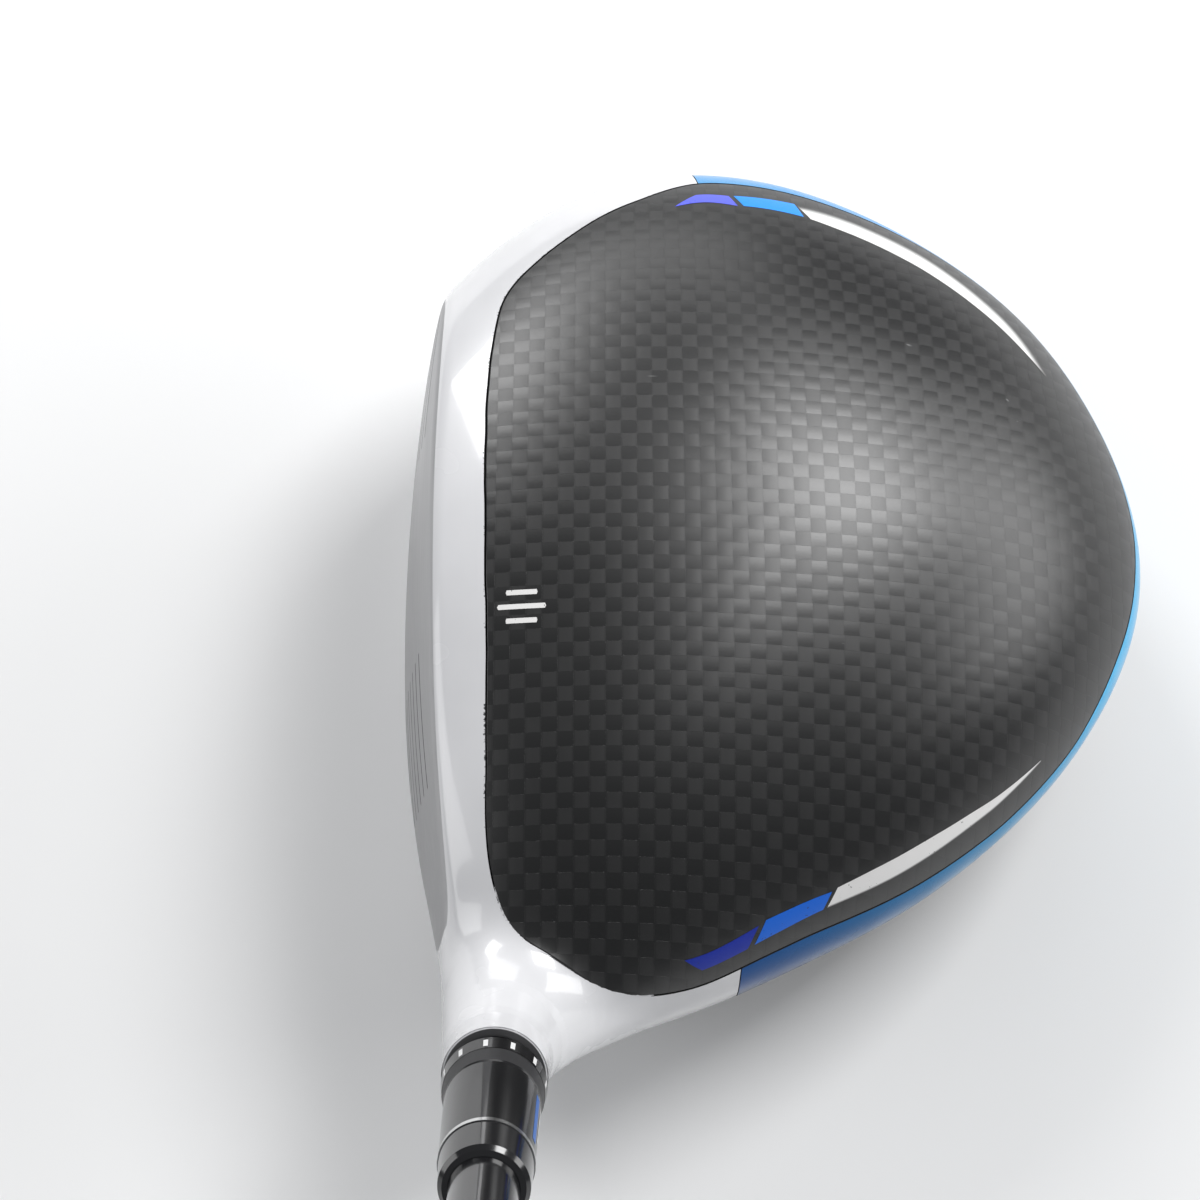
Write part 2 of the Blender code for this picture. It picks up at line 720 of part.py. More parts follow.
def sole_keel():
    """Ridge under the sole from behind the slot to the rear, with the weight pocket."""
    sections = []
    for x in np.linspace(KEEL_FRONT, KEEL_REAR, 26):
        half = keel_half_width(x)
        floor = keel_bottom(x)
        across = np.array([1.0, 0.66, 0.33, 0.0, -0.33, -0.66, -1.0])
        y = across * half
        roof = sole_z(np.full(7, x), y) - KEEL_GAP
        loop = [(x, a, b) for a, b in zip(y, roof)]
        low = np.minimum(np.array([floor + 0.55, floor, floor, floor, floor + 0.55]),
                         min(roof) - 0.35)
        for share, b in zip((-0.93, -0.7, 0.0, 0.7, 0.93), low):
            loop.append((x, share * half, b))
        sections.append(loop)
    keel = swept("sole_keel", np.array(sections), False)
    outer = WEIGHT_RADIUS + GAP
    pocket = revolved("pocket", ((4.0, 0), (4.0, outer), (-WEIGHT_DEPTH - 1.4, outer),
                                 (-WEIGHT_DEPTH - 1.4, 0)), WEIGHT_SEAT, WEIGHT_AXIS)
    combine(keel, pocket, "DIFFERENCE")
    return keel


def drive_hole(radius):
    """Outline of a six-lobed driver hole."""
    outline = []
    for k in range(24):
        angle = 2 * PI * k / 24
        size = radius * (0.86 + 0.14 * math.cos(6 * angle))
        outline.append((size * math.cos(angle), size * math.sin(angle)))
    return outline


def rear_weight():
    """Screw-in weight with a six-lobed driver hole."""
    r = WEIGHT_RADIUS
    weight = revolved("rear_weight", ((0.0, 0), (0.0, r - 0.5), (-0.5, r), (-WEIGHT_DEPTH, r),
                                      (-WEIGHT_DEPTH, 0)), WEIGHT_SEAT, WEIGHT_AXIS)
    hole = prism("hole", drive_hole(DRIVE_RADIUS), WEIGHT_AXIS, -2.2, 2.0, WEIGHT_SEAT)
    combine(weight, hole, "DIFFERENCE")
    return weight


def rear_weight_washer():
    """Flat washer at the bottom of the weight pocket."""
    return revolved("rear_weight_washer", ((-WEIGHT_DEPTH - 0.3, 7.0), (-WEIGHT_DEPTH - 0.3, 4.0),
                                           (-WEIGHT_DEPTH - 1.1, 4.0), (-WEIGHT_DEPTH - 1.1, 7.0)),
                    WEIGHT_SEAT, WEIGHT_AXIS)


# ---------------------------------------------------------------- shaft side

def shaft_radius(along):
    """Outer radius of the shaft."""
    return float(np.interp(along, [60.0, 860.0], [TIP_RADIUS, BUTT_RADIUS]))


def shaft_bore(along):
    """Inner radius of the shaft."""
    return float(np.interp(along, [60.0, 860.0], [2.1, 6.7]))


def loft_sleeve():
    """Bent sleeve: the lower tube follows the hosel, the upper part follows the shaft."""
    lower = revolved("loft_sleeve", ((-31.4, 0), (-31.4, 4.8), (-30.9, TUBE_RADIUS),
                                     (-0.6, TUBE_RADIUS), (1.6, TUBE_RADIUS), (1.6, 0)),
                     HOSEL_TOP, HOSEL_AXIS)
    upper = revolved("upper", ((0.55, 0), (0.55, 6.45), (0.95, 6.85), (1.7, 6.88), (3.3, 6.6),
                               (5.2, 6.5), (8.0, 6.12), (12.0, 6.08), (21.9, 5.85), (21.9, 0)),
                     SHAFT_BASE, SHAFT_AXIS)
    combine(lower, upper, "UNION")
    bore = revolved("bore", ((25.0, 0), (25.0, SHAFT_SOCKET), (SHAFT_TIP - 0.4, SHAFT_SOCKET),
                             (SHAFT_TIP - 0.4, 0)), SHAFT_BASE, SHAFT_AXIS)
    combine(lower, bore, "DIFFERENCE")
    thread = revolved("thread", ((-23.0, 0), (-23.0, 2.6), (-34.0, 2.6), (-34.0, 0)),
                      HOSEL_TOP, HOSEL_AXIS)
    combine(lower, thread, "DIFFERENCE")
    return lower


def on_shaft(name, profile):
    """Piece turned about the shaft axis."""
    return revolved(name, profile, SHAFT_BASE, SHAFT_AXIS)


def shaft_tube():
    """Tapered hollow shaft."""
    stations = (SHAFT_TIP, 60.0, 200.0, 350.0, 500.0, 650.0, 821.0, 860.0, SHAFT_END)
    outer = [(a, shaft_radius(a)) for a in stations]
    inner = [(a, shaft_bore(a)) for a in reversed(stations)]
    return on_shaft("shaft", outer + inner)


def grip_tape():
    """Thin tape under the grip."""
    stations = (GRIP_START + 1.0, 860.0, SHAFT_END - 1.0)
    outer = [(a, shaft_radius(a) + 0.42) for a in stations]
    inner = [(a, shaft_radius(a) + 0.15) for a in reversed(stations)]
    return on_shaft("grip_tape", outer + inner)


def grip_rubber():
    """Tapered rubber grip with a rounded mouth."""
    stations = (GRIP_START, 860.0, SHAFT_END + 0.8)
    outer = [(GRIP_START, 8.4), (GRIP_START + 1.2, 8.9), (900.0, 10.4), (960.0, 11.2),
             (1030.0, 12.2), (1076.0, 13.1), (SHAFT_END + 0.8, 13.3)]
    inner = [(a, shaft_radius(a) + 0.57) for a in reversed(stations)]
    return on_shaft("grip", outer + inner)


def grip_cap():
    """End cap with its stub inside the shaft and a vent hole through it."""
    top = SHAFT_END + 4.2
    return on_shaft("grip_cap", ((SHAFT_END + 1.1, 13.3), (top - 0.8, 13.2), (top, 12.4),
                                 (top, 1.2), (SHAFT_END - 5.0, 1.2), (SHAFT_END - 5.0, 6.4),
                                 (SHAFT_END + 1.1, 6.4)))


def hosel_screw():
    """Screw from the sole into the sleeve, with a six-lobed driver hole."""
    under = -SHOULDER_DEPTH - GAP
    screw = revolved("hosel_screw", ((-25.0, 0), (-25.0, SCREW_SHANK - 0.4),
                                     (-25.5, SCREW_SHANK), (under, SCREW_SHANK),
                                     (under, SCREW_HEAD), (under - 4.9, SCREW_HEAD),
                                     (under - 5.3, SCREW_HEAD - 0.4), (under - 5.3, 0)),
                     HOSEL_TOP, HOSEL_AXIS)
    hole = prism("hole", drive_hole(DRIVE_RADIUS), HOSEL_AXIS, -SHOULDER_DEPTH - 8.0,
                 -SHOULDER_DEPTH - 2.4, HOSEL_TOP)
    combine(screw, hole, "DIFFERENCE")
    return screw


def toe_port_screw():
    """Set screw that closes the filling port at the toe."""
    where = body_point(PORT_THETA, PORT_TAU)
    normal = body_normal(PORT_THETA, PORT_TAU)
    screw = revolved("toe_port_screw", ((-0.5, 0), (-0.5, 2.3), (-0.8, 2.6), (-3.0, 2.6),
                                        (-3.0, 0)), where, normal, 24)
    hole = prism("hole", drive_hole(1.3), normal, -2.0, 2.0, where)
    combine(screw, hole, "DIFFERENCE")
    return screw


def slot_insert():
    """Soft filler of the sole slot, following the sole surface."""
    outline = slot_outline(30.7, 1.6)
    up = np.array([0.0, 0.0, 1.0])
    first, second = frame_of(up)
    low = []
    high = []
    for a, b in outline:
        p = SLOT_CENTRE + a * first + b * second
        floor = float(sole_z(p[0], p[1]))
        low.append((p[0], p[1], floor + 0.25))
        high.append((p[0], p[1], floor + 3.2))
    return swept("slot_insert", np.array([low, high]), False)


def tuning_resin():
    """Small pad of resin behind the toe side of the face."""
    sections = []
    for k, size in enumerate((0.35, 0.8, 1.0, 0.9, 0.5)):
        depth = 3.6 + 0.7 * k
        loop = []
        for j in range(20):
            angle = 2 * PI * j / 20
            across = 19.0 + 5.0 * size * math.cos(angle)
            rise = -2.0 + 8.0 * size * math.sin(angle)
            psi = math.atan2(rise, across)
            loop.append(face_point(np.array(psi), np.array(math.hypot(across, rise)), depth))
        sections.append(loop)
    return swept("tuning_resin", np.array(sections), False)


def paint(obj, colour, metallic, roughness):
    """Give a node its own material."""
    obj.data.materials.clear()
    obj.data.materials.append(material(obj.name + "_mat", colour, metallic, roughness))
    return obj


def set_origin(obj, point):
    """Move the object's origin to a point without moving its mesh."""
    shift = Vector([float(c) * MM for c in point])
    for vertex in obj.data.vertices:
        vertex.co -= shift
    obj.location = shift


def build():
    """Make every node of the club."""
    for obj in list(bpy.data.objects):
        bpy.data.objects.remove(obj)
    paint(front_body(), (0.85, 0.85, 0.86), 0.0, 0.2)
    paint(face_plate(), (0.35, 0.35, 0.36), 1.0, 0.35)
    paint(rear_ring(), (0.02, 0.25, 0.7), 1.0, 0.3)
    paint(polar_solid("crown_panel", panel_limit(GAP), False, 0.0, PANEL_THICKNESS, 11, 84),
          (0.02, 0.02, 0.022), 0.0, 0.35)
    paint(polar_solid("sole_panel", sole_limit(GAP), True, 0.0, PANEL_THICKNESS, 9, 84),
          (0.02, 0.02, 0.022), 0.0, 0.35)
    paint(sole_keel(), (0.08, 0.09, 0.1), 0.6, 0.4)
    paint(slot_insert(), (0.01, 0.08, 0.3), 0.0, 0.5)
    weight = paint(rear_weight(), (0.3, 0.3, 0.31), 1.0, 0.35)
    washer = paint(rear_weight_washer(), (0.5, 0.5, 0.5), 1.0, 0.4)
    screw = paint(hosel_screw(), (0.2, 0.2, 0.21), 1.0, 0.4)
    retainer = paint(revolved("screw_retainer", ((-31.9, 5.2), (-31.9, 2.75), (-32.9, 2.75),
                                                 (-32.9, 5.2)), HOSEL_TOP, HOSEL_AXIS),
                     (0.55, 0.55, 0.56), 1.0, 0.35)
    paint(toe_port_screw(), (0.02, 0.2, 0.6), 1.0, 0.4)
    paint(tuning_resin(), (0.6, 0.4, 0.15), 0.0, 0.4)
    sleeve = paint(loft_sleeve(), (0.015, 0.015, 0.016), 0.4, 0.25)
    paint(on_shaft("sleeve_trim_ring", ((22.1, TRIM_RADIUS), (22.8, TRIM_RADIUS),
                                        (22.8, SHAFT_SOCKET), (22.1, SHAFT_SOCKET))),
          (0.8, 0.8, 0.8), 1.0, 0.2)
    paint(on_shaft("ferrule", ((23.0, 5.8), (28.0, 5.5), (28.8, 4.9), (28.8, SHAFT_SOCKET),
                               (23.0, SHAFT_SOCKET))),
          (0.01, 0.01, 0.01), 0.0, 0.15)
    paint(shaft_tube(), (0.01, 0.01, 0.012), 0.0, 0.12)
    paint(on_shaft("tip_plug", ((SHAFT_TIP + 0.5, 0), (SHAFT_TIP + 0.5, 1.9),
                                (SHAFT_TIP + 14.0, 1.9), (SHAFT_TIP + 14.0, 0))),
          (0.5, 0.35, 0.2), 0.0, 0.8)
    paint(grip_tape(), (0.7, 0.68, 0.6), 0.0, 0.7)
    paint(grip_rubber(), (0.02, 0.02, 0.02), 0.0, 0.8)
    paint(grip_cap(), (0.03, 0.03, 0.03), 0.0, 0.6)
    set_origin(weight, WEIGHT_SEAT)
    set_origin(washer, WEIGHT_SEAT)
    set_origin(screw, HOSEL_TOP)
    set_origin(retainer, HOSEL_TOP)
    set_origin(sleeve, HOSEL_TOP)


build()
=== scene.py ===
"""Looks of the golf driver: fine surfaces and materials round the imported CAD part.

Lengths in this file are millimetres and become metres when a mesh is made.
"""
import math

import bpy
import numpy as np
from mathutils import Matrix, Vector


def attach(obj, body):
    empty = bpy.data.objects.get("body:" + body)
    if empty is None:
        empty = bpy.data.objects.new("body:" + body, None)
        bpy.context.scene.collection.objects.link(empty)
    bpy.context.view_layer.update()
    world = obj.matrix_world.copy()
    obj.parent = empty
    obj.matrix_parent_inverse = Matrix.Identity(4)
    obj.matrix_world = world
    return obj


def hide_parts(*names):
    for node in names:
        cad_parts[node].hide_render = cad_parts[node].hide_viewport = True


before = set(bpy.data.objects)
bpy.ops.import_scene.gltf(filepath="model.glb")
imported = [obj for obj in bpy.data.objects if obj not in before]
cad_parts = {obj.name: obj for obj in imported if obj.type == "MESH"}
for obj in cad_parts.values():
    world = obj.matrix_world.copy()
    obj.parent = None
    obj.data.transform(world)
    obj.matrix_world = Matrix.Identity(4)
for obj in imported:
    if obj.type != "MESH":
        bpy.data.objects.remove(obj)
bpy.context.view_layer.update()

MM = 0.001
PI = math.pi
TOW_X = 2.2
TOW_Y = 2.05
AXIS_X = np.array([1.0, 0.0, 0.0])
DOWN = np.array([0.0, 0.0, -1.0])

# ---- head form
# The CAD's form, apart from the loft, the crease round the face and the crown panel's edge.

HEAD_CENTRE = (6.0, 0.0)
OUTLINE_RADII = (58.5, 59.3, 60.2, 61.3, 63.8, 66.5, 66.0, 64.0, 63.5,
                 64.0, 65.5, 70.0, 76.5, 67.5, 57.4, 53.5, 53.0, 55.2)
EQUATOR_HEIGHT = 34.4
EQUATOR_SLOPE = -0.13
CROWN_RISE = 27.5
SOLE_DROP = 31.6
FACE_CENTRE = np.array([-47.6, 0.0, 30.0])
LOFT = math.radians(7.8)
BULGE_RADIUS = 305.0
FACE_NORMAL = np.array([-math.cos(LOFT), 0.0, math.sin(LOFT)])
FACE_UP = np.array([math.sin(LOFT), 0.0, math.cos(LOFT)])
CAST_CENTRE = np.array([0.0, 0.0, 40.0])
# direction in degrees and share of the plan radius along the edge of the crown panel
PANEL_EDGE = ((0, 0.965), (20, 0.975), (45, 0.970), (62, 0.953), (77, 0.925), (99, 0.905),
              (108, 0.862), (121, 0.838), (134, 0.828), (138, 0.815), (146, 0.757),
              (154, 0.709), (164, 0.667), (172, 0.648), (180, 0.634), (186, 0.631),
              (192, 0.6365), (200, 0.653), (208, 0.684), (216, 0.724), (223, 0.765),
              (228, 0.812), (232, 0.852), (236, 0.886), (240, 0.904), (244, 0.916),
              (248, 0.936), (252, 0.955), (257, 0.968), (261, 0.972), (268, 0.966),
              (275, 0.965), (290, 0.975), (310, 0.985), (330, 0.985), (345, 0.970))
SOLE_EDGE = 0.972
SOLE_FRONT = 22.0
TOE_JOINT = math.radians(99.0)
HEEL_JOINT = math.radians(265.5)
SEAM = 0.15

HOSEL_TOP = np.array([-32.0, -79.0, 59.0])
HOSEL_ANGLE = math.radians(58.0)
SHAFT_ANGLE = math.radians(56.0)
HOSEL_AXIS = np.array([0.0, -math.cos(HOSEL_ANGLE), math.sin(HOSEL_ANGLE)])
SHAFT_AXIS = np.array([0.0, -math.cos(SHAFT_ANGLE), math.sin(SHAFT_ANGLE)])
BEND_DEPTH = 14.0
SHAFT_BASE = HOSEL_TOP + BEND_DEPTH * (SHAFT_AXIS - HOSEL_AXIS)
HOSEL_SECOND = np.cross(HOSEL_AXIS, AXIS_X)
HOSEL_RADIUS = 6.9
HOSEL_LIP = 0.25
BORE = 5.6
BORE_DEPTH = 33.6
SCREW_HOLE = 3.0
# depth below the hosel top, then half widths to the rear, toe, front and heel
NECK = np.array(((0.0, 6.9, 6.9, 6.9, 6.9), (5.0, 7.2, 7.2, 7.1, 7.0), (10.0, 8.8, 8.8, 7.5, 7.1),
                 (16.0, 13.0, 11.5, 8.0, 7.3), (22.0, 18.0, 13.5, 8.2, 7.5),
                 (30.0, 22.0, 13.5, 8.0, 7.6), (38.0, 18.0, 11.0, 7.6, 6.8),
                 (45.0, 8.0, 7.2, 6.8, 5.2), (52.0, 5.6, 5.6, 5.6, 2.6)))
CREASE_BLEND = 2.2
RECESS = 4.6
SHOULDER = 37.0
NECK_BLEND = 9.0


def outline_fourier(theta):
    """Plan radius of the head, smooth through every listed radius."""
    coeffs = np.fft.rfft(OUTLINE_RADII) / len(OUTLINE_RADII)
    k = np.arange(len(coeffs))
    weight = np.where(k == 0, 1.0, 2.0)
    weight[-1] = 1.0
    return np.real(np.exp(1j * np.multiply.outer(theta, k)) @ (coeffs * weight))


TABLE_ANGLE = np.linspace(0, 2 * PI, 14401)
TABLE_RADIUS = outline_fourier(TABLE_ANGLE)


def outline_radius(theta):
    """Plan radius of the head from a fine table of the curve."""
    return np.interp(theta % (2 * PI), TABLE_ANGLE, TABLE_RADIUS)


def equator_height(x):
    """Height of the widest line of the head."""
    return EQUATOR_HEIGHT + EQUATOR_SLOPE * (x - HEAD_CENTRE[0])


def sole_power(theta):
    """The sole is flat toward the face and rounder toward the rear."""
    return 2.4 + 4.6 * ((1 - np.cos(theta)) / 2) ** 2


def body_point(theta, tau):
    """Point on the egg: tau is 0 at the crown centre, pi/2 at the equator, pi at the sole."""
    theta, tau = np.broadcast_arrays(np.asarray(theta, float), np.asarray(tau, float))
    low = tau > PI / 2
    rho = np.sin(tau) ** (2 / np.where(low, sole_power(theta), 2.0))
    radius = rho * outline_radius(theta)
    x = HEAD_CENTRE[0] + radius * np.cos(theta)
    y = HEAD_CENTRE[1] + radius * np.sin(theta)
    amount = np.where(low, SOLE_DROP + EQUATOR_SLOPE * (x - HEAD_CENTRE[0]), CROWN_RISE)
    return np.stack([x, y, equator_height(x) + amount * np.cos(tau)], -1)


def egg_distance(p):
    """Nearly the distance outside the egg."""
    dx = p[..., 0] - HEAD_CENTRE[0]
    dy = p[..., 1] - HEAD_CENTRE[1]
    theta = np.arctan2(dy, dx)
    size = outline_radius(theta)
    rho = np.maximum(np.hypot(dx, dy) / size, 1e-6)
    rise = p[..., 2] - equator_height(p[..., 0])
    low = rise < 0
    power = np.where(low, sole_power(theta), 2.0)
    amount = np.where(low, SOLE_DROP + EQUATOR_SLOPE * dx, CROWN_RISE)
    level = rho ** power + (rise / amount) ** 2
    slope = np.hypot(power * rho ** (power - 1) / size, 2 * rise / amount ** 2)
    return (level - 1) / np.maximum(slope, 0.012)


def face_distance(p):
    """Distance ahead of the club face."""
    q = p - FACE_CENTRE
    ahead = q @ FACE_NORMAL
    return ahead + (np.sum(q * q, -1) - ahead ** 2) / (2 * BULGE_RADIUS)


def neck_frame(p):
    """Depth, radius and angle of points round the hosel axis."""
    q = p - HOSEL_TOP
    depth = -(q @ HOSEL_AXIS)
    across = q @ AXIS_X
    toe = q @ HOSEL_SECOND
    return depth, np.hypot(across, toe), np.arctan2(toe, across)


def neck_radius(depth, angle):
    """Radius of the neck's four-lobed section."""
    sides = [np.interp(depth, NECK[:, 0], NECK[:, k]) for k in range(1, 5)]
    c = np.cos(angle)
    s = np.sin(angle)
    wide = np.where(c > 0, sides[0], sides[2])
    high = np.where(s > 0, sides[1], sides[3])
    return 1 / np.hypot(c / wide, s / high)


def neck_distance(p):
    """Nearly the distance outside the neck."""
    depth, radius, angle = neck_frame(p)
    low = np.maximum(depth - NECK[-1, 0], 0)
    side = radius - neck_radius(depth - 0.7, angle) * 0.5 - neck_radius(depth + 0.7, angle) * 0.5
    return np.where(low > 0, np.hypot(np.maximum(side, 0), low), side)


def smooth_min(a, b, width):
    """Smaller of two distances, rounded where they meet."""
    h = np.maximum(width - np.abs(a - b), 0) / width
    return np.minimum(a, b) - h ** 3 * width / 6


def head_distance(p):
    """Distance outside the whole head: egg cut by the face, blended with the neck."""
    shell = -smooth_min(-egg_distance(p), -face_distance(p), CREASE_BLEND)
    return smooth_min(shell, neck_distance(p), NECK_BLEND)


def gradient(p, step=0.02):
    """Slope of the head distance."""
    out = np.zeros(p.shape)
    for axis in range(3):
        shift = np.zeros(3)
        shift[axis] = step
        out[..., axis] = (head_distance(p + shift) - head_distance(p - shift)) / (2 * step)
    return out


def slope_of(points):
    """Outward normals of points on the head surface."""
    slope = gradient(points)
    return slope / np.linalg.norm(slope, axis=-1, keepdims=True)


def settle(p, rounds=7):
    """Points moved onto the head surface, and the outward normals there."""
    p = p.copy()
    for _ in range(rounds):
        slope = gradient(p)
        size = np.sum(slope * slope, -1)
        move = np.clip(head_distance(p) / np.maximum(size, 0.05), -3, 3)
        p -= move[..., None] * slope
    return p, slope_of(p)


def plan_place(x, y):
    """Direction of a plan point from the head centre, and its share of the plan radius."""
    theta = np.arctan2(y - HEAD_CENTRE[1], x - HEAD_CENTRE[0])
    return theta, np.hypot(y - HEAD_CENTRE[1], x - HEAD_CENTRE[0]) / outline_radius(theta)


def tau_of(theta, rho, low):
    """Profile angle for a fraction of the outline."""
    up = np.arcsin(np.clip(rho, 0, 1) ** (np.where(low, sole_power(theta), 2.0) / 2))
    return np.where(low, PI - up, up)


def tau_step(theta, tau, length):
    """Change of tau that moves a length over the surface."""
    step = 1e-3
    speed = np.linalg.norm(body_point(theta, tau + step) - body_point(theta, tau - step), axis=-1)
    return length / (speed / (2 * step))


def smooth_ring(degrees, values, width):
    """Periodic curve through listed values, softened over a width."""
    grid = np.arange(0, 360, 0.5)
    base = np.interp(grid, degrees, values, period=360)
    kernel = np.hanning(2 * width + 3)[1:-1]
    padded = np.concatenate([base[-width:], base, base[:width]])
    return grid, np.convolve(padded, kernel / kernel.sum(), mode="valid")


def crown_tau(theta):
    """Profile angle of the crown panel edge."""
    degrees, values = zip(*PANEL_EDGE)
    grid, curve = smooth_ring(degrees, values, 7)
    rho = np.interp(np.degrees(theta) % 360, grid, curve, period=360)
    return tau_of(theta, rho, False)


def sole_tau(theta):
    """Profile angle of the sole panel edge."""
    grid = np.arange(0, 360, 2.0)
    cosine = np.cos(np.radians(grid))
    ahead = np.where(cosine < -0.05, SOLE_FRONT / np.maximum(-cosine, 0.05), 999.0)
    ahead = ahead / outline_radius(np.radians(grid))
    rho = (ahead ** -4.0 + SOLE_EDGE ** -4.0) ** -0.25
    dense, curve = smooth_ring(grid, rho, 8)
    rho = np.interp(np.degrees(theta) % 360, dense, curve, period=360)
    return tau_of(theta, rho, True)


# ---- mesh building

class Piece:
    """Collects patches of points and makes one object of them."""

    def __init__(self, name):
        self.name = name
        self.points = []
        self.normals = []
        self.faces = []
        self.slots = []
        self.edge = []
        self.count = 0

    def patch(self, grid, normals=None, wrap_rows=False, wrap_cols=False, slot=0, edge=None,
              flip=False):
        """Adds a grid of points (rows, cols, 3)."""
        rows, cols = grid.shape[:2]
        index = np.arange(rows * cols).reshape(rows, cols) + self.count
        down = np.roll(index, -1, 0) if wrap_rows else index[1:]
        here = index if wrap_rows else index[:-1]
        if wrap_cols:
            quads = np.stack([here, np.roll(here, -1, 1), np.roll(down, -1, 1), down], -1)
        else:
            quads = np.stack([here[:, :-1], here[:, 1:], down[:, 1:], down[:, :-1]], -1)
        quads = quads.reshape(-1, 4)
        if normals is None:
            normals = grid_normals(grid, wrap_rows, wrap_cols)
            if flip:
                normals = -normals
        flat = grid.reshape(-1, 3)
        first = quads - self.count
        cross = np.cross(flat[first[:, 2]] - flat[first[:, 0]], flat[first[:, 3]] - flat[first[:, 1]])
        wanted = normals.reshape(-1, 3)[first[:, 0]]
        if np.sum(cross * wanted) < 0:
            quads = quads[:, ::-1]
        self.points.append(flat)
        self.normals.append(normals.reshape(-1, 3))
        self.faces.append(quads)
        self.slots.append(np.full(len(quads), slot))
        self.edge.append(np.full(rows * cols, 99.0) if edge is None else edge.reshape(-1))
        self.count += rows * cols

    def band(self, *lines, slot=0, normals=None):
        """Adds closed lines of points, each joined to the next."""
        self.patch(np.array(lines), normals, wrap_cols=True, slot=slot)

    def drop_faces(self, keep):
        """Keeps only the faces whose four corners pass a test on their points."""
        flat = np.concatenate(self.points)
        good = keep(flat)
        for k, quads in enumerate(self.faces):
            mask = good[quads].all(1)
            self.faces[k] = quads[mask]
            self.slots[k] = self.slots[k][mask]

    def make(self, materials, body, nodes=(), slot=None):
        """Makes the object, rides it on a body and hides the CAD nodes it stands for."""
        quads = np.concatenate(self.faces)
        mesh = bpy.data.meshes.new(self.name)
        mesh.from_pydata((np.concatenate(self.points) * MM).tolist(), [], quads.tolist())
        for mat in materials:
            mesh.materials.append(mat)
        mesh.polygons.foreach_set("material_index", np.concatenate(self.slots).astype(np.int32))
        mesh.polygons.foreach_set("use_smooth", np.ones(len(quads), bool))
        attribute = mesh.attributes.new("edge_mm", "FLOAT", "POINT")
        attribute.data.foreach_set("value", np.concatenate(self.edge).astype(np.float32))
        mesh.update()
        mesh.normals_split_custom_set_from_vertices(np.concatenate(self.normals).tolist())
        obj = bpy.data.objects.new(self.name, mesh)
        bpy.context.scene.collection.objects.link(obj)
        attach(obj, body)
        if nodes:
            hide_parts(*nodes)


def grid_normals(grid, wrap_rows, wrap_cols):
    """Normals of a grid from its own neighbours."""
    if wrap_rows:
        across = np.roll(grid, -1, 0) - np.roll(grid, 1, 0)
    else:
        across = np.gradient(grid, axis=0) if grid.shape[0] > 1 else np.zeros_like(grid)
    if wrap_cols:
        along = np.roll(grid, -1, 1) - np.roll(grid, 1, 1)
    else:
        along = np.gradient(grid, axis=1)
    normal = np.cross(across, along)
    size = np.linalg.norm(normal, axis=-1, keepdims=True)
    return normal / np.maximum(size, 1e-9)


def circle(first, axis, count):
    """Directions square to an axis, all the way round from a first one."""
    turn = np.linspace(0, 2 * PI, count, endpoint=False)
    return np.cos(turn)[:, None] * first + np.sin(turn)[:, None] * np.cross(axis, first)


def turned(name, profiles, origin, axis, segments, slots=None):
    """Piece turned about an axis; each profile is a smooth run of (along, radius) points."""
    ring = circle(AXIS_X, axis, segments)
    piece = Piece(name)
    for k, profile in enumerate(profiles):
        run = np.array(profile, float)
        grid = origin + run[:, 0, None, None] * axis + run[:, 1, None, None] * ring[None]
        step = np.gradient(run, axis=0)
        size = np.maximum(np.hypot(step[:, 0], step[:, 1]), 1e-9)
        out = step[:, 0] / size
        up = -step[:, 1] / size
        normals = up[:, None, None] * axis + out[:, None, None] * ring[None]
        piece.patch(grid, normals, wrap_cols=True, slot=0 if slots is None else slots[k])
    return piece


def run(*points, fine=1):
    """Profile with extra points between the listed ones."""
    points = np.array(points, float)
    where = np.linspace(0, len(points) - 1, (len(points) - 1) * fine + 1)
    base = np.arange(len(points))
    return np.stack([np.interp(where, base, points[:, k]) for k in range(2)], 1)


# ---- materials

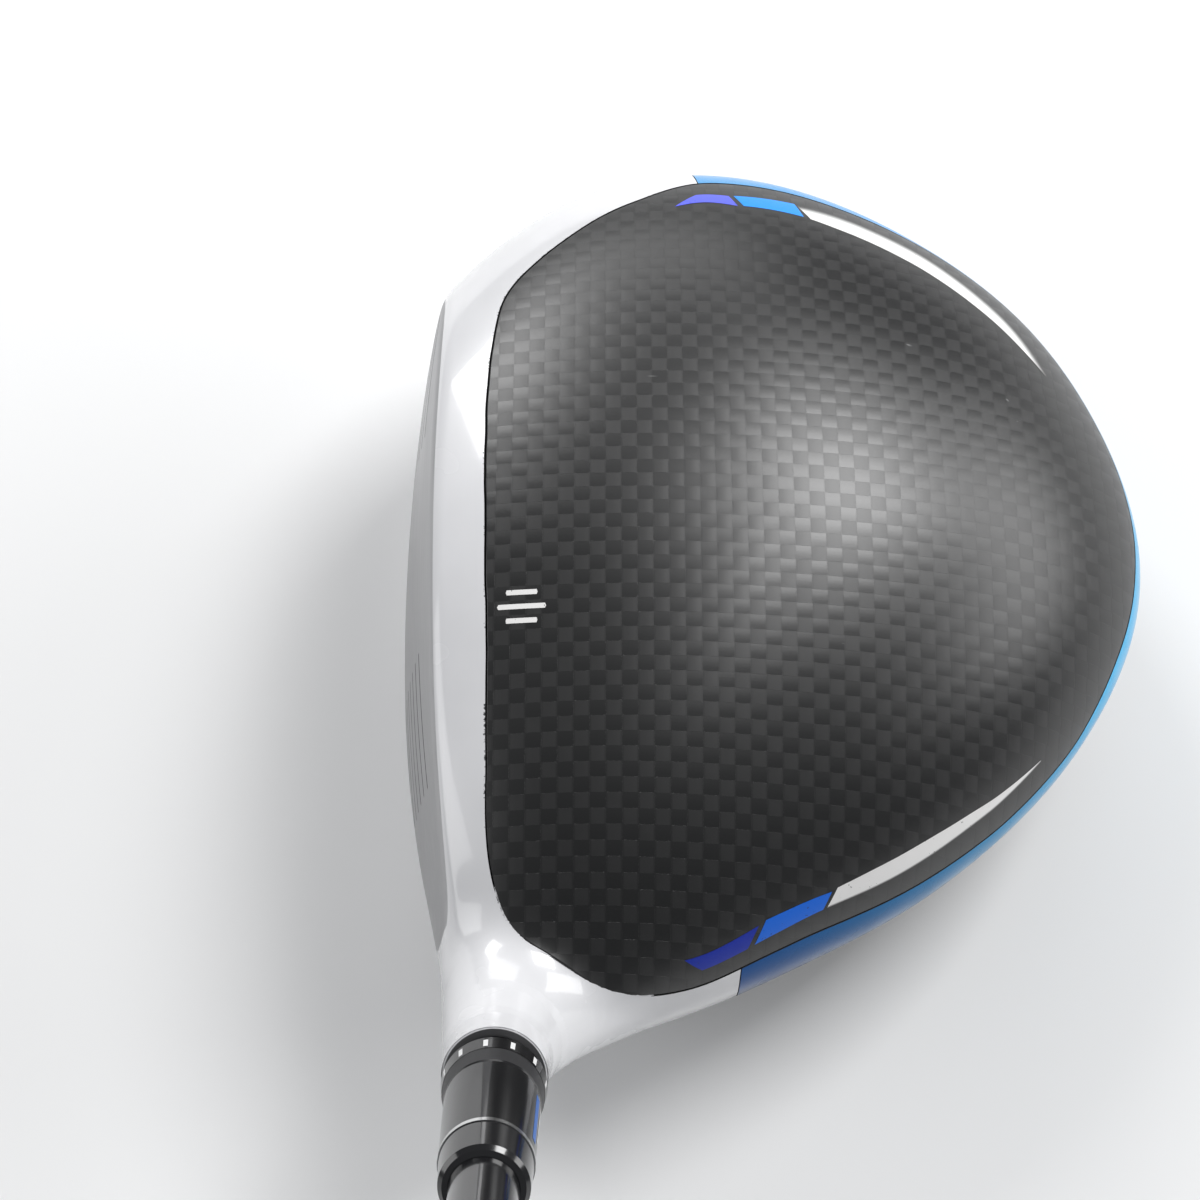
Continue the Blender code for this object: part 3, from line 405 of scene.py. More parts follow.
class Shader:
    """Small helper for node materials."""

    def __init__(self, name, colour, metallic=0.0, roughness=0.5, coat=0.0, coat_roughness=0.03,
                 specular=0.5, anisotropic=0.0):
        self.mat = bpy.data.materials.new(name)
        self.mat.use_nodes = True
        self.nodes = self.mat.node_tree.nodes
        self.links = self.mat.node_tree.links
        self.bsdf = self.nodes["Principled BSDF"]
        for socket, value in (("Base Color", (*colour, 1.0)), ("Metallic", metallic),
                              ("Roughness", roughness), ("Coat Weight", coat),
                              ("Coat Roughness", coat_roughness),
                              ("Specular IOR Level", specular), ("Anisotropic", anisotropic)):
            self.bsdf.inputs[socket].default_value = value
        self.place = self.nodes.new("ShaderNodeTexCoord").outputs["Object"]

    def node(self, kind, inputs=(), **settings):
        """Adds a node, sets its fields and wires or fills its inputs."""
        made = self.nodes.new(kind)
        for key, value in settings.items():
            setattr(made, key, value)
        for key, value in dict(inputs).items():
            self.put(made.inputs[key], value)
        return made

    def put(self, socket, value):
        """Links an output or sets a value."""
        if isinstance(value, bpy.types.NodeSocket):
            self.links.new(value, socket)
        else:
            socket.default_value = value

    def math(self, operation, a, b=0.0, clamp=False):
        """One math node."""
        made = self.node("ShaderNodeMath", {0: a, 1: b}, operation=operation, use_clamp=clamp)
        return made.outputs[0]

    def product(self, *values):
        """Values multiplied together."""
        result = values[0]
        for value in values[1:]:
            result = self.math("MULTIPLY", result, value)
        return result

    def total(self, a, b, clamp=False):
        """Sum of two values."""
        return self.math("ADD", a, b, clamp)

    def ramp(self, value, low, high, out_low=0.0, out_high=1.0):
        """Smooth step of a value."""
        made = self.node("ShaderNodeMapRange", {"Value": value, "From Min": low, "From Max": high,
                                                "To Min": out_low, "To Max": out_high},
                         interpolation_type="SMOOTHSTEP")
        return made.outputs["Result"]

    def noise(self, scale, detail=3.0, roughness=0.5, stretch=None):
        """Noise of the object position; scale is per metre."""
        vector = self.place
        if stretch is not None:
            vector = self.node("ShaderNodeMapping", {"Vector": vector, "Scale": stretch}).outputs[0]
        made = self.node("ShaderNodeTexNoise", {"Vector": vector, "Scale": scale, "Detail": detail,
                                                "Roughness": roughness})
        return made.outputs["Fac"]

    def mix(self, factor, a, b):
        """Mix of two colours."""
        made = self.node("ShaderNodeMix", {"Factor": factor}, data_type="RGBA")
        for key, value in ((6, a), (7, b)):
            if isinstance(value, tuple) and len(value) == 3:
                value = (*value, 1.0)
            self.put(made.inputs[key], value)
        return made.outputs[2]

    def bump(self, height, distance, strength=1.0):
        """Bump in millimetres."""
        previous = self.bsdf.inputs["Normal"].links
        values = {"Height": height, "Distance": distance * MM, "Strength": strength}
        if previous:
            values["Normal"] = previous[0].from_socket
        made = self.node("ShaderNodeBump", values)
        self.links.new(made.outputs[0], self.bsdf.inputs["Normal"])

    def edge_mm(self):
        """Distance from the piece's edge, stored on its points."""
        return self.node("ShaderNodeAttribute", attribute_name="edge_mm").outputs["Fac"]

    def separate(self):
        """X, Y and Z of the object position in millimetres."""
        scaled = self.node("ShaderNodeVectorMath", {0: self.place, 1: (1000.0, 1000.0, 1000.0)},
                           operation="MULTIPLY").outputs[0]
        return self.node("ShaderNodeSeparateXYZ", {0: scaled}).outputs[:3]

    def colour(self, value):
        """Links the base colour."""
        self.put(self.bsdf.inputs["Base Color"], value)

    def rough(self, value):
        """Links the roughness."""
        self.put(self.bsdf.inputs["Roughness"], value)


PAINT = (0.68, 0.68, 0.695)
PAINT_SMUDGED = (0.64, 0.64, 0.655)
CHIP = (0.06, 0.06, 0.065)


def white_paint():
    """Gloss white paint with soft orange peel and small chips at the panel edge."""
    s = Shader("white_gloss_paint", PAINT, 0.0, 0.24, 0.7, 0.06)
    s.bump(s.noise(900.0, 2.0), 0.004)
    speck = s.noise(2600.0, 2.0, 0.6)
    cluster = s.noise(160.0, 2.0)
    near = s.ramp(s.edge_mm(), 0.05, 0.75, 1.0, 0.0)
    score = s.total(s.product(near, 0.34), s.product(cluster, 0.42))
    chips = s.ramp(s.total(score, s.product(speck, 0.5)), 0.84, 0.88)
    smudge = s.mix(s.ramp(s.noise(45.0, 4.0), 0.45, 0.75), PAINT, PAINT_SMUDGED)
    s.colour(s.mix(chips, smudge, CHIP))
    s.rough(s.ramp(s.noise(70.0, 3.0), 0.3, 0.8, 0.2, 0.3))
    return s.mat


def carbon(name, dark, light, roughness):
    """Woven carbon under a satin lacquer: plain weave of flat tows, one set coloured lighter as
    painted sheen.
    """
    s = Shader(name, (dark,) * 3, 0.0, roughness, 0.0, 0.2, 0.85)
    x, y, _ = s.separate()
    u = s.math("DIVIDE", x, TOW_X)
    v = s.math("DIVIDE", y, TOW_Y)
    cell = s.total(s.math("FLOOR", u), s.math("FLOOR", v))
    parity = s.math("ABSOLUTE", s.math("MODULO", cell, 2.0))
    other = s.math("SUBTRACT", 1.0, parity)
    over = s.math("ABSOLUTE", s.math("SINE", s.product(u, PI)))
    under = s.math("ABSOLUTE", s.math("SINE", s.product(v, PI)))
    height = s.total(s.product(parity, over), s.product(other, under))
    fibre_x = s.noise(1000.0, 2.0, 0.5, (0.25, 4.0, 1.0))
    fibre_y = s.noise(1000.0, 2.0, 0.5, (4.0, 0.25, 1.0))
    fibre = s.total(s.product(parity, fibre_y), s.product(other, fibre_x))
    s.bump(s.total(s.product(height, 0.8), s.product(fibre, 0.10)), 0.024)
    wobble = s.ramp(s.noise(330.0, 1.0), 0.3, 0.7, 0.7, 1.2)
    # Painted sheen: tows of one direction get the lighter colour, brightest at their middles, in
    # place of the light they catch.
    tow_sheen = s.product(parity, s.ramp(over, 0.1, 0.5), wobble)
    tow_sheen = s.total(tow_sheen, s.product(fibre, 0.12), clamp=True)
    woven = s.mix(tow_sheen, (dark,) * 3, (light, light * 0.98, light * 0.99))
    scratch = s.noise(900.0, 1.0, 0.5, (0.08, 1.0, 1.0))
    marks = s.product(s.ramp(scratch, 0.755, 0.775), s.ramp(s.noise(85.0, 2.0), 0.62, 0.7))
    s.colour(s.mix(marks, woven, (0.16, 0.16, 0.16)))
    s.rough(s.total(roughness - 0.02, s.product(parity, 0.05)))
    return s.mat


def blue_anodised():
    """Blue anodised ring with painted shade: dark at the heel, lighter round the rear and toe."""
    s = Shader("blue_anodised", (0.01, 0.28, 0.72), 0.9, 0.26, 0.1, 0.1)
    y = s.separate()[1]
    # Painted shade and light: the ring is coloured darker toward the heel side and lighter toward the
    # rear and toe.
    heel_shade = s.ramp(y, -64.0, -16.0)
    rear = s.mix(heel_shade, (0.0, 0.055, 0.21), (0.0, 0.44, 0.80))
    s.colour(s.mix(s.ramp(y, 10.0, 60.0), rear, (0.02, 0.36, 0.80)))
    s.bump(s.noise(2500.0, 2.0), 0.003)
    s.rough(s.ramp(s.noise(120.0, 3.0), 0.3, 0.7, 0.22, 0.3))
    return s.mat


SCORE_PITCH = 4.4
SCORE_INNER = 17.0
SCORE_OUTER = 37.0
SCORE_LOW = 13.2
SCORE_HIGH = 48.8
SOFT_END = 0.2


def brushed_face():
    """Milled titanium face with score lines on both sides of a clear middle, coloured near-black as
    painted shade of the grooves.
    """
    s = Shader("face_titanium", (0.36, 0.36, 0.37), 1.0, 0.34, anisotropic=0.4)
    _, y, z = s.separate()
    grain = s.noise(2600.0, 2.0, 0.5, (1.0, 0.03, 1.0))
    titanium = s.mix(grain, (0.27, 0.27, 0.275), (0.42, 0.42, 0.43))
    s.bump(grain, 0.002)
    phase = s.math("FRACT", s.math("DIVIDE", z, SCORE_PITCH))
    line = s.math("ABSOLUTE", s.math("SUBTRACT", phase, 0.5))
    aside = s.math("ABSOLUTE", y)
    score = s.product(s.ramp(line, 0.055, 0.085, 1.0, 0.0),
                      s.ramp(aside, SCORE_INNER - SOFT_END, SCORE_INNER + SOFT_END),
                      s.ramp(aside, SCORE_OUTER - SOFT_END, SCORE_OUTER + SOFT_END, 1.0, 0.0),
                      s.ramp(z, SCORE_LOW - SOFT_END, SCORE_LOW + SOFT_END),
                      s.ramp(z, SCORE_HIGH - SOFT_END, SCORE_HIGH + SOFT_END, 1.0, 0.0))
    # The near-black colour and lower metal of the score lines are painted shade of the grooves.
    s.colour(s.mix(score, titanium, (0.03, 0.03, 0.032)))
    s.bump(score, 0.25, -1.0)
    s.rough(s.total(s.ramp(grain, 0.3, 0.7, 0.3, 0.4), s.product(score, 0.3)))
    s.put(s.bsdf.inputs["Metallic"], s.math("SUBTRACT", 1.0, s.product(score, 0.75)))
    return s.mat


def plain(name, colour, metallic, roughness, coat=0.0, grain=900.0, depth=0.004, vary=0.06):
    """Solid-colour finish with fine grain and uneven gloss."""
    s = Shader(name, colour, metallic, roughness, coat, 0.08)
    s.bump(s.noise(grain, 3.0), depth)
    s.rough(s.ramp(s.noise(90.0, 4.0), 0.25, 0.75, roughness - vary, roughness + vary))
    dark = tuple(c * 0.86 for c in colour)
    s.colour(s.mix(s.noise(60.0, 3.0), dark, colour))
    return s.mat


def printed(name, colour, fade):
    """Printed mark, coloured darker toward its outer edge over a given distance."""
    s = Shader("print_" + name, colour, 0.0, 0.36, 0.05, 0.15)
    worn = s.ramp(s.noise(2200.0, 2.0), 0.70, 0.74)
    dark = tuple(0.02 + 0.05 * c for c in colour)
    base = s.mix(s.product(worn, 0.7), colour, dark)
    s.colour(s.mix(s.ramp(s.edge_mm(), 0.02, max(fade, 0.05)), dark, base))
    s.bump(s.noise(1500.0, 2.0), 0.003)
    return s.mat


def rubber():
    """Grip rubber with a fine moulded pattern."""
    s = Shader("grip_rubber", (0.022, 0.022, 0.023), 0.0, 0.72)
    cells = s.node("ShaderNodeTexVoronoi", {"Vector": s.place, "Scale": 520.0}).outputs["Distance"]
    s.bump(s.ramp(cells, 0.1, 0.5), 0.25)
    s.bump(s.noise(3000.0, 3.0), 0.02)
    s.colour(s.mix(s.noise(55.0, 4.0), (0.017, 0.017, 0.018), (0.034, 0.034, 0.035)))
    return s.mat


def cork():
    """Granular cork."""
    s = Shader("tip_cork", (0.42, 0.26, 0.14), 0.0, 0.85)
    grains = s.node("ShaderNodeTexVoronoi", {"Vector": s.place, "Scale": 900.0}).outputs["Color"]
    s.colour(s.mix(grains, (0.30, 0.17, 0.08), (0.55, 0.37, 0.22)))
    s.bump(s.noise(1200.0, 3.0), 0.1)
    return s.mat


WHITE = white_paint()
CROWN = carbon("crown_carbon", 0.0012, 0.009, 0.37)
SOLE = carbon("sole_carbon", 0.004, 0.02, 0.3)
SLOT_BLUE = plain("slot_blue_polymer", (0.005, 0.09, 0.36), 0.0, 0.5, depth=0.01)
KEEL_GREY = plain("keel_dark_anodised", (0.05, 0.055, 0.06), 0.7, 0.38)
STEEL = plain("weight_brushed_steel", (0.42, 0.42, 0.43), 1.0, 0.3, depth=0.006)
BLUE = blue_anodised()
FACE = brushed_face()
# Near-black finish for the dark seams, also used as painted shade inside the screw sockets.
SEAM_AND_SHADE_BLACK = plain("seam_and_shade_black", (0.012, 0.012, 0.012), 0.0, 0.6)
BARE = plain("cast_titanium", (0.32, 0.32, 0.33), 1.0, 0.42)
SLEEVE = plain("sleeve_black_anodised", (0.014, 0.014, 0.015), 0.3, 0.17, 0.5)
SLEEVE_MATT = plain("sleeve_matt_black", (0.035, 0.035, 0.037), 0.3, 0.5)
TICK = plain("tick_white", (0.75, 0.75, 0.75), 0.0, 0.5)
SILVER = plain("trim_silver", (0.8, 0.8, 0.8), 1.0, 0.22)
FERRULE = plain("ferrule_gloss_black", (0.008, 0.008, 0.009), 0.0, 0.1, 0.6)
RUBBER = rubber()
CAP = plain("cap_rubber", (0.03, 0.03, 0.031), 0.0, 0.6, depth=0.02)
GRAPHITE = plain("graphite_gloss_black", (0.008, 0.008, 0.009), 0.0, 0.14, 0.8)


# ---- head pieces

def skin(theta, tau, depth=0.0):
    """Points on the blended head for egg angles, sunk by a depth."""
    p, normal = settle(body_point(theta, tau))
    return p - depth * normal, normal


EDGE_RADIUS = 0.25


def crown_panel():
    """Carbon crown with a small rounded edge."""
    theta = np.linspace(0, 2 * PI, 420, endpoint=False)
    limit = crown_tau(theta)
    edge = limit - tau_step(theta, limit, SEAM)
    share = (np.linspace(0, 1, 110) ** 0.8)[:, None]
    share[0] = 0.0002
    inner = edge - tau_step(theta, edge, 0.3)
    grid, normal = skin(theta[None], share * inner[None])
    piece = Piece("crown_carbon_panel")
    piece.patch(grid, normal, wrap_cols=True)
    outward = np.gradient(grid, axis=0)[-1]
    outward /= np.linalg.norm(outward, axis=-1, keepdims=True)
    centre = grid[-1] - EDGE_RADIUS * normal[-1]
    normals = [math.cos(turn) * normal[-1] + math.sin(turn) * outward
               for turn in np.linspace(0, PI / 2, 5)]
    rounded = [centre + EDGE_RADIUS * out for out in normals]
    rounded.append(rounded[-1] - skin(theta, edge)[1])
    piece.band(*rounded, normals=np.array([*normals, outward]))
    piece.make([CROWN], "head", ("crown_panel",), "crown_carbon")


def sole_panel():
    """Carbon sole."""
    theta = np.linspace(0, 2 * PI, 360, endpoint=False)
    limit = sole_tau(theta)
    edge = limit + tau_step(theta, limit, SEAM)
    piece = Piece("sole_carbon_panel")
    share = np.linspace(0.0003, 1, 70)[:, None]
    grid, normal = skin(theta[None], PI + share * (edge - PI)[None])
    piece.patch(grid, normal, wrap_cols=True)
    piece.band(grid[-1], grid[-1] - normal[-1])
    piece.make([SOLE], "head", ("sole_panel",), "sole_carbon")


def rear_ring():
    """Anodised ring with rounded shoulders, and dark seats under both panel edges."""
    margin = SEAM / 60.0
    theta = np.linspace(HEEL_JOINT + margin, TOE_JOINT + 2 * PI - margin, 520)
    top = crown_tau(theta)
    bottom = sole_tau(theta)
    piece = Piece("blue_rear_ring")
    share = np.linspace(0, 1, 34)[:, None]
    grid, normal = skin(theta[None], top[None] + share * (bottom - top)[None])
    piece.patch(grid, normal)
    for row, tau, sign in ((0, top, -1), (-1, bottom, 1)):
        seat, _ = skin(theta, tau + sign * tau_step(theta, tau, 3.0), 1.1)
        piece.patch(np.array([grid[row], grid[row] - 0.9 * normal[row], seat]), slot=1)
    for col in (0, -1):
        piece.patch(np.array([grid[:, col], grid[:, col] - 1.4 * normal[:, col]]), slot=1)
    piece.make([BLUE, SEAM_AND_SHADE_BLACK], "head", ("rear_ring",), "blue_ring")


def face_point(psi, reach):
    """Point on the club face: psi is 0 to the toe and 90 degrees up."""
    across = reach * np.cos(psi)
    rise = reach * np.sin(psi)
    sag = reach ** 2 / (2 * BULGE_RADIUS)
    return (FACE_CENTRE + across[..., None] * np.array([0.0, 1.0, 0.0])
            + rise[..., None] * FACE_UP - sag[..., None] * FACE_NORMAL)


def halved(test, near, far, rounds=40):
    """Lengths between two bounds where a test stops being true."""
    for _ in range(rounds):
        middle = (near + far) / 2
        passed = test(middle)
        near = np.where(passed, middle, near)
        far = np.where(passed, far, middle)
    return near


def crease_reach(psi):
    """Distance from the face centre to the edge of the face."""
    return halved(lambda reach: egg_distance(face_point(psi, reach)) < 0,
                  np.zeros_like(psi), np.full_like(psi, 90.0))


def chart(points):
    """Angles of points seen from inside the head."""
    d = points - CAST_CENTRE
    turn = np.arctan2(d[..., 2], d[..., 1])
    return turn, np.arctan2(np.hypot(d[..., 1], d[..., 2]), -d[..., 0])


def cast(turn, away):
    """Point of the egg in a direction from inside the head."""
    direction = np.stack([-np.cos(away), np.sin(away) * np.cos(turn),
                          np.sin(away) * np.sin(turn)], -1)
    near = halved(lambda reach: egg_distance(CAST_CENTRE + reach[..., None] * direction) < 0,
                  np.full(turn.shape, 5.0), np.full(turn.shape, 160.0))
    return CAST_CENTRE + near[..., None] * direction


def even(points, count):
    """Places that split a curve of points into equal lengths."""
    length = np.concatenate([[0], np.cumsum(np.linalg.norm(np.diff(points, axis=0), axis=1))])
    return np.interp(np.linspace(0, length[-1], count + 1)[:-1], length, np.arange(len(points)))


def rear_boundary():
    """Closed edge of the front body: crown panel, heel joint, sole panel, toe joint."""
    fine = np.linspace(0, 1, 900)
    sweep = TOE_JOINT + (HEEL_JOINT - TOE_JOINT) * fine
    heel = crown_tau(HEEL_JOINT) + (sole_tau(HEEL_JOINT) - crown_tau(HEEL_JOINT)) * fine
    toe = sole_tau(TOE_JOINT) + (crown_tau(TOE_JOINT) - sole_tau(TOE_JOINT)) * fine
    parts = ((sweep, crown_tau(sweep), 260, 1.0), (np.full(900, HEEL_JOINT), heel, 30, 0.0),
             (sweep[::-1], sole_tau(sweep[::-1]), 200, 0.3), (np.full(900, TOE_JOINT), toe, 30, 0.0))
    theta = []
    tau = []
    crown = []
    for part_theta, part_tau, count, flag in parts:
        where = even(body_point(part_theta, part_tau), count)
        theta.append(np.interp(where, np.arange(900), part_theta))
        tau.append(np.interp(where, np.arange(900), part_tau))
        crown.append(np.full(count, flag))
    return np.concatenate(theta), np.concatenate(tau), np.concatenate(crown)


def neck_limit(angle):
    """Depth where the neck patch hands over to the body patch."""
    degrees = (0, 22.5, 45, 67.5, 90, 112.5, 135, 157.5, 180, 202, 270, 292, 315, 337)
    depths = (21.0, 17.6, 16.7, 17.2, 18.6, 20.5, 24.5, 32.0, 42.0, 46.0, 46.0, 44.0, 35.0, 28.5)
    grid, curve = smooth_ring(degrees, depths, 9)
    return np.interp(np.degrees(angle) % 360, grid, curve, period=360)


def front_grids():
    """Stations and angles shared by the white body and the face."""
    theta_b, tau_b, crown = rear_boundary()
    turn_b, away_b = chart(body_point(theta_b, tau_b))
    turn_b = np.unwrap(turn_b)
    fine = np.linspace(-PI, PI, 1441)
    seen = np.unwrap(chart(face_point(fine, crease_reach(fine)))[0])
    order = np.arange(-1, 2)[:, None] * 2 * PI
    psi = np.interp(turn_b, (seen + order)[:, :-1].ravel(), (fine + order)[:, :-1].ravel())
    return theta_b, tau_b, crown, turn_b, away_b, psi


def march(start, direction, near, far):
    """Where rays that start inside the head first leave it."""
    found = np.zeros(start.shape[:2], bool)
    last = np.full(start.shape[:2], far)
    for step in np.arange(near, far, 0.5)[1:]:
        outside = head_distance(start + step * direction) > 0
        last = np.where(outside & ~found, step, last)
        found |= outside
    first = halved(lambda reach: head_distance(start + reach[..., None] * direction) <= 0,
                   last - 0.5, last, 20)
    return start + first[..., None] * direction


def tucked(points):
    """Moves points that run past the crown panel's edge under the panel."""
    theta, rho = plan_place(points[..., 0], points[..., 1])
    tau = tau_of(theta, np.minimum(rho, 0.999), False)
    limit = crown_tau(theta)
    past = (limit - tau) / tau_step(theta, limit, 1.0)
    share = np.clip((past - 0.1) / 0.5, 0, 1) * (points[..., 2] > equator_height(points[..., 0]))
    under = skin(theta, tau, 0.8)[0]
    return points + (under - points) * share[..., None]


def clear_of_screw(points):
    """True for points away from the screw recess."""
    depth, radius, _ = neck_frame(points)
    return (depth < 30.0) | (radius > RECESS + 1.0)


def front_shell(piece):
    """Outer skin from the face to the panels, and the dark seats under their edges."""
    theta_b, tau_b, crown, turn_b, away_b, psi = front_grids()
    crease = face_point(psi, crease_reach(psi))
    turn_c, away_c = chart(crease)
    turn_c = turn_b + (turn_c - turn_b + PI) % (2 * PI) - PI
    share = (np.linspace(0, 1, 80) ** 1.35)[:, None]
    egg = cast(turn_c[None] + (turn_b - turn_c)[None] * share,
               away_c[None] + (away_b - away_c)[None] * share)
    egg[0] = crease
    egg[-1] = body_point(theta_b, tau_b)
    grid, normal = settle(egg)
    inside = np.clip((neck_distance(egg) + 2.6) / 2.0, 0, 1)
    blend = inside * inside * (3 - 2 * inside)
    grid = egg + (grid - egg) * blend[..., None]
    edge = np.linalg.norm(grid - grid[-1], axis=-1)
    edge = np.where(crown[None] > 0, edge, 99.0)
    piece.patch(grid, normal, wrap_cols=True, edge=edge)
    piece.drop_faces(clear_of_screw)
    low = np.where(tau_b > PI / 2, 1.0, -1.0)
    seat_tau = tau_b + low * (crown > 0) * tau_step(theta_b, tau_b, 3.0)
    toward = np.where(np.abs(theta_b - TOE_JOINT) < np.abs(theta_b - HEEL_JOINT), -1.0, 1.0)
    seat_theta = theta_b + toward * (crown == 0) * 3.0 / 66.0
    piece.band(grid[-1], grid[-1] - 1.2 * normal[-1], skin(seat_theta, seat_tau, 1.6)[0], slot=1)


def neck_skin(piece, ring):
    """Neck from the hosel's end down to where the outer skin takes over."""
    angle = np.linspace(0, 2 * PI, len(ring), endpoint=False)
    rows = (1 - (1 - np.linspace(0, 1, 90)) ** 1.5)[:, None]
    depth = rows * neck_limit(angle)[None]
    centre = HOSEL_TOP - depth[..., None] * HOSEL_AXIS
    neck = march(centre, ring[None] + 0 * centre, 4.0, 34.0)
    normal = slope_of(neck)
    piece.patch(tucked(neck + 0.02 * normal), normal, wrap_cols=True)


def screw_recess(piece, ring):
    """Mouth, wall and shoulder of the recess for the hosel screw."""
    mouth = np.linspace(RECESS, RECESS + 2.6, 14)[:, None, None] * ring[None]
    start = HOSEL_TOP - (SHOULDER - 1.0) * HOSEL_AXIS + mouth
    rim = march(start, -HOSEL_AXIS + 0 * start, 0.0, 40.0)
    normal = slope_of(rim)
    piece.patch(rim + 0.05 * normal, normal, wrap_cols=True)
    top = rim[0] + 0.6 * HOSEL_AXIS
    shoulder = HOSEL_TOP - SHOULDER * HOSEL_AXIS
    piece.band(rim[0] + 0.05 * normal[0], top)
    piece.band(top, shoulder + RECESS * ring, slot=2)
    piece.band(shoulder + RECESS * ring, shoulder + SCREW_HOLE * ring, slot=2)


def hosel_bore(piece, ring):
    """Rounded lip of the hosel, and the bore for the sleeve."""

    def level(depth, radius):
        return HOSEL_TOP - depth * HOSEL_AXIS + radius * ring

    piece.band(*[level(HOSEL_LIP * (1 - math.sin(t)), HOSEL_RADIUS - HOSEL_LIP * (1 - math.cos(t)))
                 for t in np.linspace(0, PI / 2, 5)])
    piece.band(level(0, HOSEL_RADIUS - HOSEL_LIP), level(0, BORE), slot=2)
    piece.band(*[level(depth, BORE) for depth in np.linspace(0, BORE_DEPTH, 12)], slot=2)
    piece.band(level(BORE_DEPTH, BORE), level(BORE_DEPTH, SCREW_HOLE), slot=2)


def front_body():
    """White painted body: outer skin, neck, screw recess and hosel bore."""
    piece = Piece("white_front_body")
    ring = circle(AXIS_X, HOSEL_AXIS, 220)
    front_shell(piece)
    neck_skin(piece, ring)
    screw_recess(piece, ring)
    hosel_bore(piece, ring)
    piece.make([WHITE, SEAM_AND_SHADE_BLACK, BARE], "head", ("front_body",), "white_paint")


def club_face():
    """Face surface up to the crease."""
    *_, psi = front_grids()
    reach = crease_reach(psi)
    share = np.linspace(0.001, 1, 40)[:, None]
    grid, normal = settle(face_point(psi[None] + 0 * share, reach[None] * share))
    piece = Piece("titanium_face")
    piece.patch(grid, normal, wrap_cols=True)
    piece.make([FACE], "head", ("face_plate",), "face_titanium")


# ---- marks on the crown

# each stripe: (angle, mm from the panel edge) along the outer side and along the inner side
# The corners were worked out by a separate script from places measured in the photograph.
STRIPES = (
    ("toe_violet", (0.095, 0.12, 0.86), 0.1, ((99.9, 4.2), (94.9, 5.0)), ((104.0, 5.6), (93.7, 8.0))),
    ("toe_blue", (0.0, 0.27, 0.95), 0.1, ((94.1, 4.9), (84.4, 4.4)), ((92.7, 7.9), (82.7, 8.0))),
    ("toe_white", (0.82, 0.82, 0.81), 1.9,
     ((84.0, 4.9), (77.4, 4.0), (64.1, 5.0), (48.9, 7.2), (42.2, 8.0), (33.8, 9.5)),
     ((81.5, 8.1), (73.5, 8.8), (62.0, 10.1), (48.0, 11.1), (41.5, 11.0), (33.6, 9.9))),
    ("heel_dark_blue", (0.0, 0.02, 0.34), 0.1, ((260.6, 3.1), (266.1, 3.3)),
     ((258.2, 5.6), (267.4, 6.3))),
    ("heel_blue", (0.0, 0.13, 0.68), 0.1, ((267.0, 3.4), (277.0, 3.9)), ((268.4, 6.6), (278.6, 6.3))),
    ("heel_white", (0.80, 0.79, 0.78), 0.5,
     ((277.6, 3.9), (286.0, 4.0), (294.9, 4.4), (305.9, 5.0), (322.1, 5.2)),
     ((279.6, 6.6), (287.0, 7.2), (296.0, 7.5), (306.8, 7.2), (321.9, 5.5))))
MARK = (-29.2, -15.2)


def crown_spot(degrees, length):
    """Egg angles of a point a length inside the crown panel edge."""
    theta = np.radians(degrees)
    tau = crown_tau(theta)
    for _ in range(12):
        tau = tau - tau_step(theta, tau, length / 12)
    return theta, tau


def stripes():
    """Printed stripes near the edge of the crown panel."""
    for name, colour, fade, outer, inner in STRIPES:
        share = np.linspace(0, 1, 60)
        sides = []
        for side in (outer, inner):
            side = np.array(side)
            step = np.hypot(np.diff(side[:, 0]) * 1.1, np.diff(side[:, 1]))
            place = np.concatenate([[0], np.cumsum(step)]) / step.sum()
            smooth = [np.interp(share, place, side[:, k]) for k in range(2)]
            if len(side) > 2:
                kernel = np.ones(9) / 9
                smooth = [np.convolve(np.pad(s, 4, mode="reflect", reflect_type="odd"), kernel,
                                      mode="valid") for s in smooth]
            sides.append(np.array(smooth))
        across = np.linspace(0, 1, 13)[:, None]
        spot = [sides[0][k][None] * (1 - across) + sides[1][k][None] * across for k in range(2)]
        theta, tau = crown_spot(*spot)
        grid, normal = skin(theta, tau, -0.03)
        width = np.linalg.norm(grid[-1] - grid[0], axis=-1)
        piece = Piece("crown_stripe_" + name)
        piece.patch(grid, normal, edge=across * width[None])
        piece.make([printed(name, colour, fade)], "head")


def alignment_mark():
    """Three short bars along the target line as an alignment mark."""
    piece = Piece("crown_alignment_bars")
    for side, length in ((-2.0, 2.2), (0.0, 3.4), (2.0, 2.2)):
        across = np.linspace(-0.36, 0.36, 5)[:, None]
        along = np.linspace(-length, length, 16)[None] * (1 - 0.05 * np.abs(across) / 0.36)
        x = MARK[0] + along
        y = MARK[1] + side + across + 0 * along
        theta, rho = plan_place(x, y)
        grid, normal = skin(theta, tau_of(theta, rho, False), -0.03)
        piece.patch(grid, normal, edge=np.full(grid.shape[:2], 9.0))
    piece.make([printed("alignment", (0.80, 0.79, 0.78), 0.1)], "head")


# ---- sole details

SLOT_CENTRE = (-27.0, -2.0)
SLOT_HALF_LENGTH = 30.9
SLOT_HALF_WIDTH = 1.75
PORT = (math.radians(124.0), math.radians(100.0))


def sole_skin(x, y, lift):
    """Points of the sole under plan positions, and their normals."""
    theta, rho = plan_place(x, y)
    return skin(theta, tau_of(theta, rho, True), -lift)


def slot_outline(size):
    """Plan outline of the slot, grown or shrunk by a share of its half width."""
    straight = SLOT_HALF_LENGTH - SLOT_HALF_WIDTH
    turn = np.linspace(0, PI, 25)
    side = np.linspace(straight, -straight, 70)[1:-1]
    wide = size * SLOT_HALF_WIDTH
    x = np.concatenate([wide * np.cos(turn), np.full(68, -wide), wide * np.cos(turn + PI),
                        np.full(68, wide)])
    y = np.concatenate([wide * np.sin(turn) + straight, side, wide * np.sin(turn + PI) - straight,
                        -side])
    return SLOT_CENTRE[0] + x, SLOT_CENTRE[1] + y


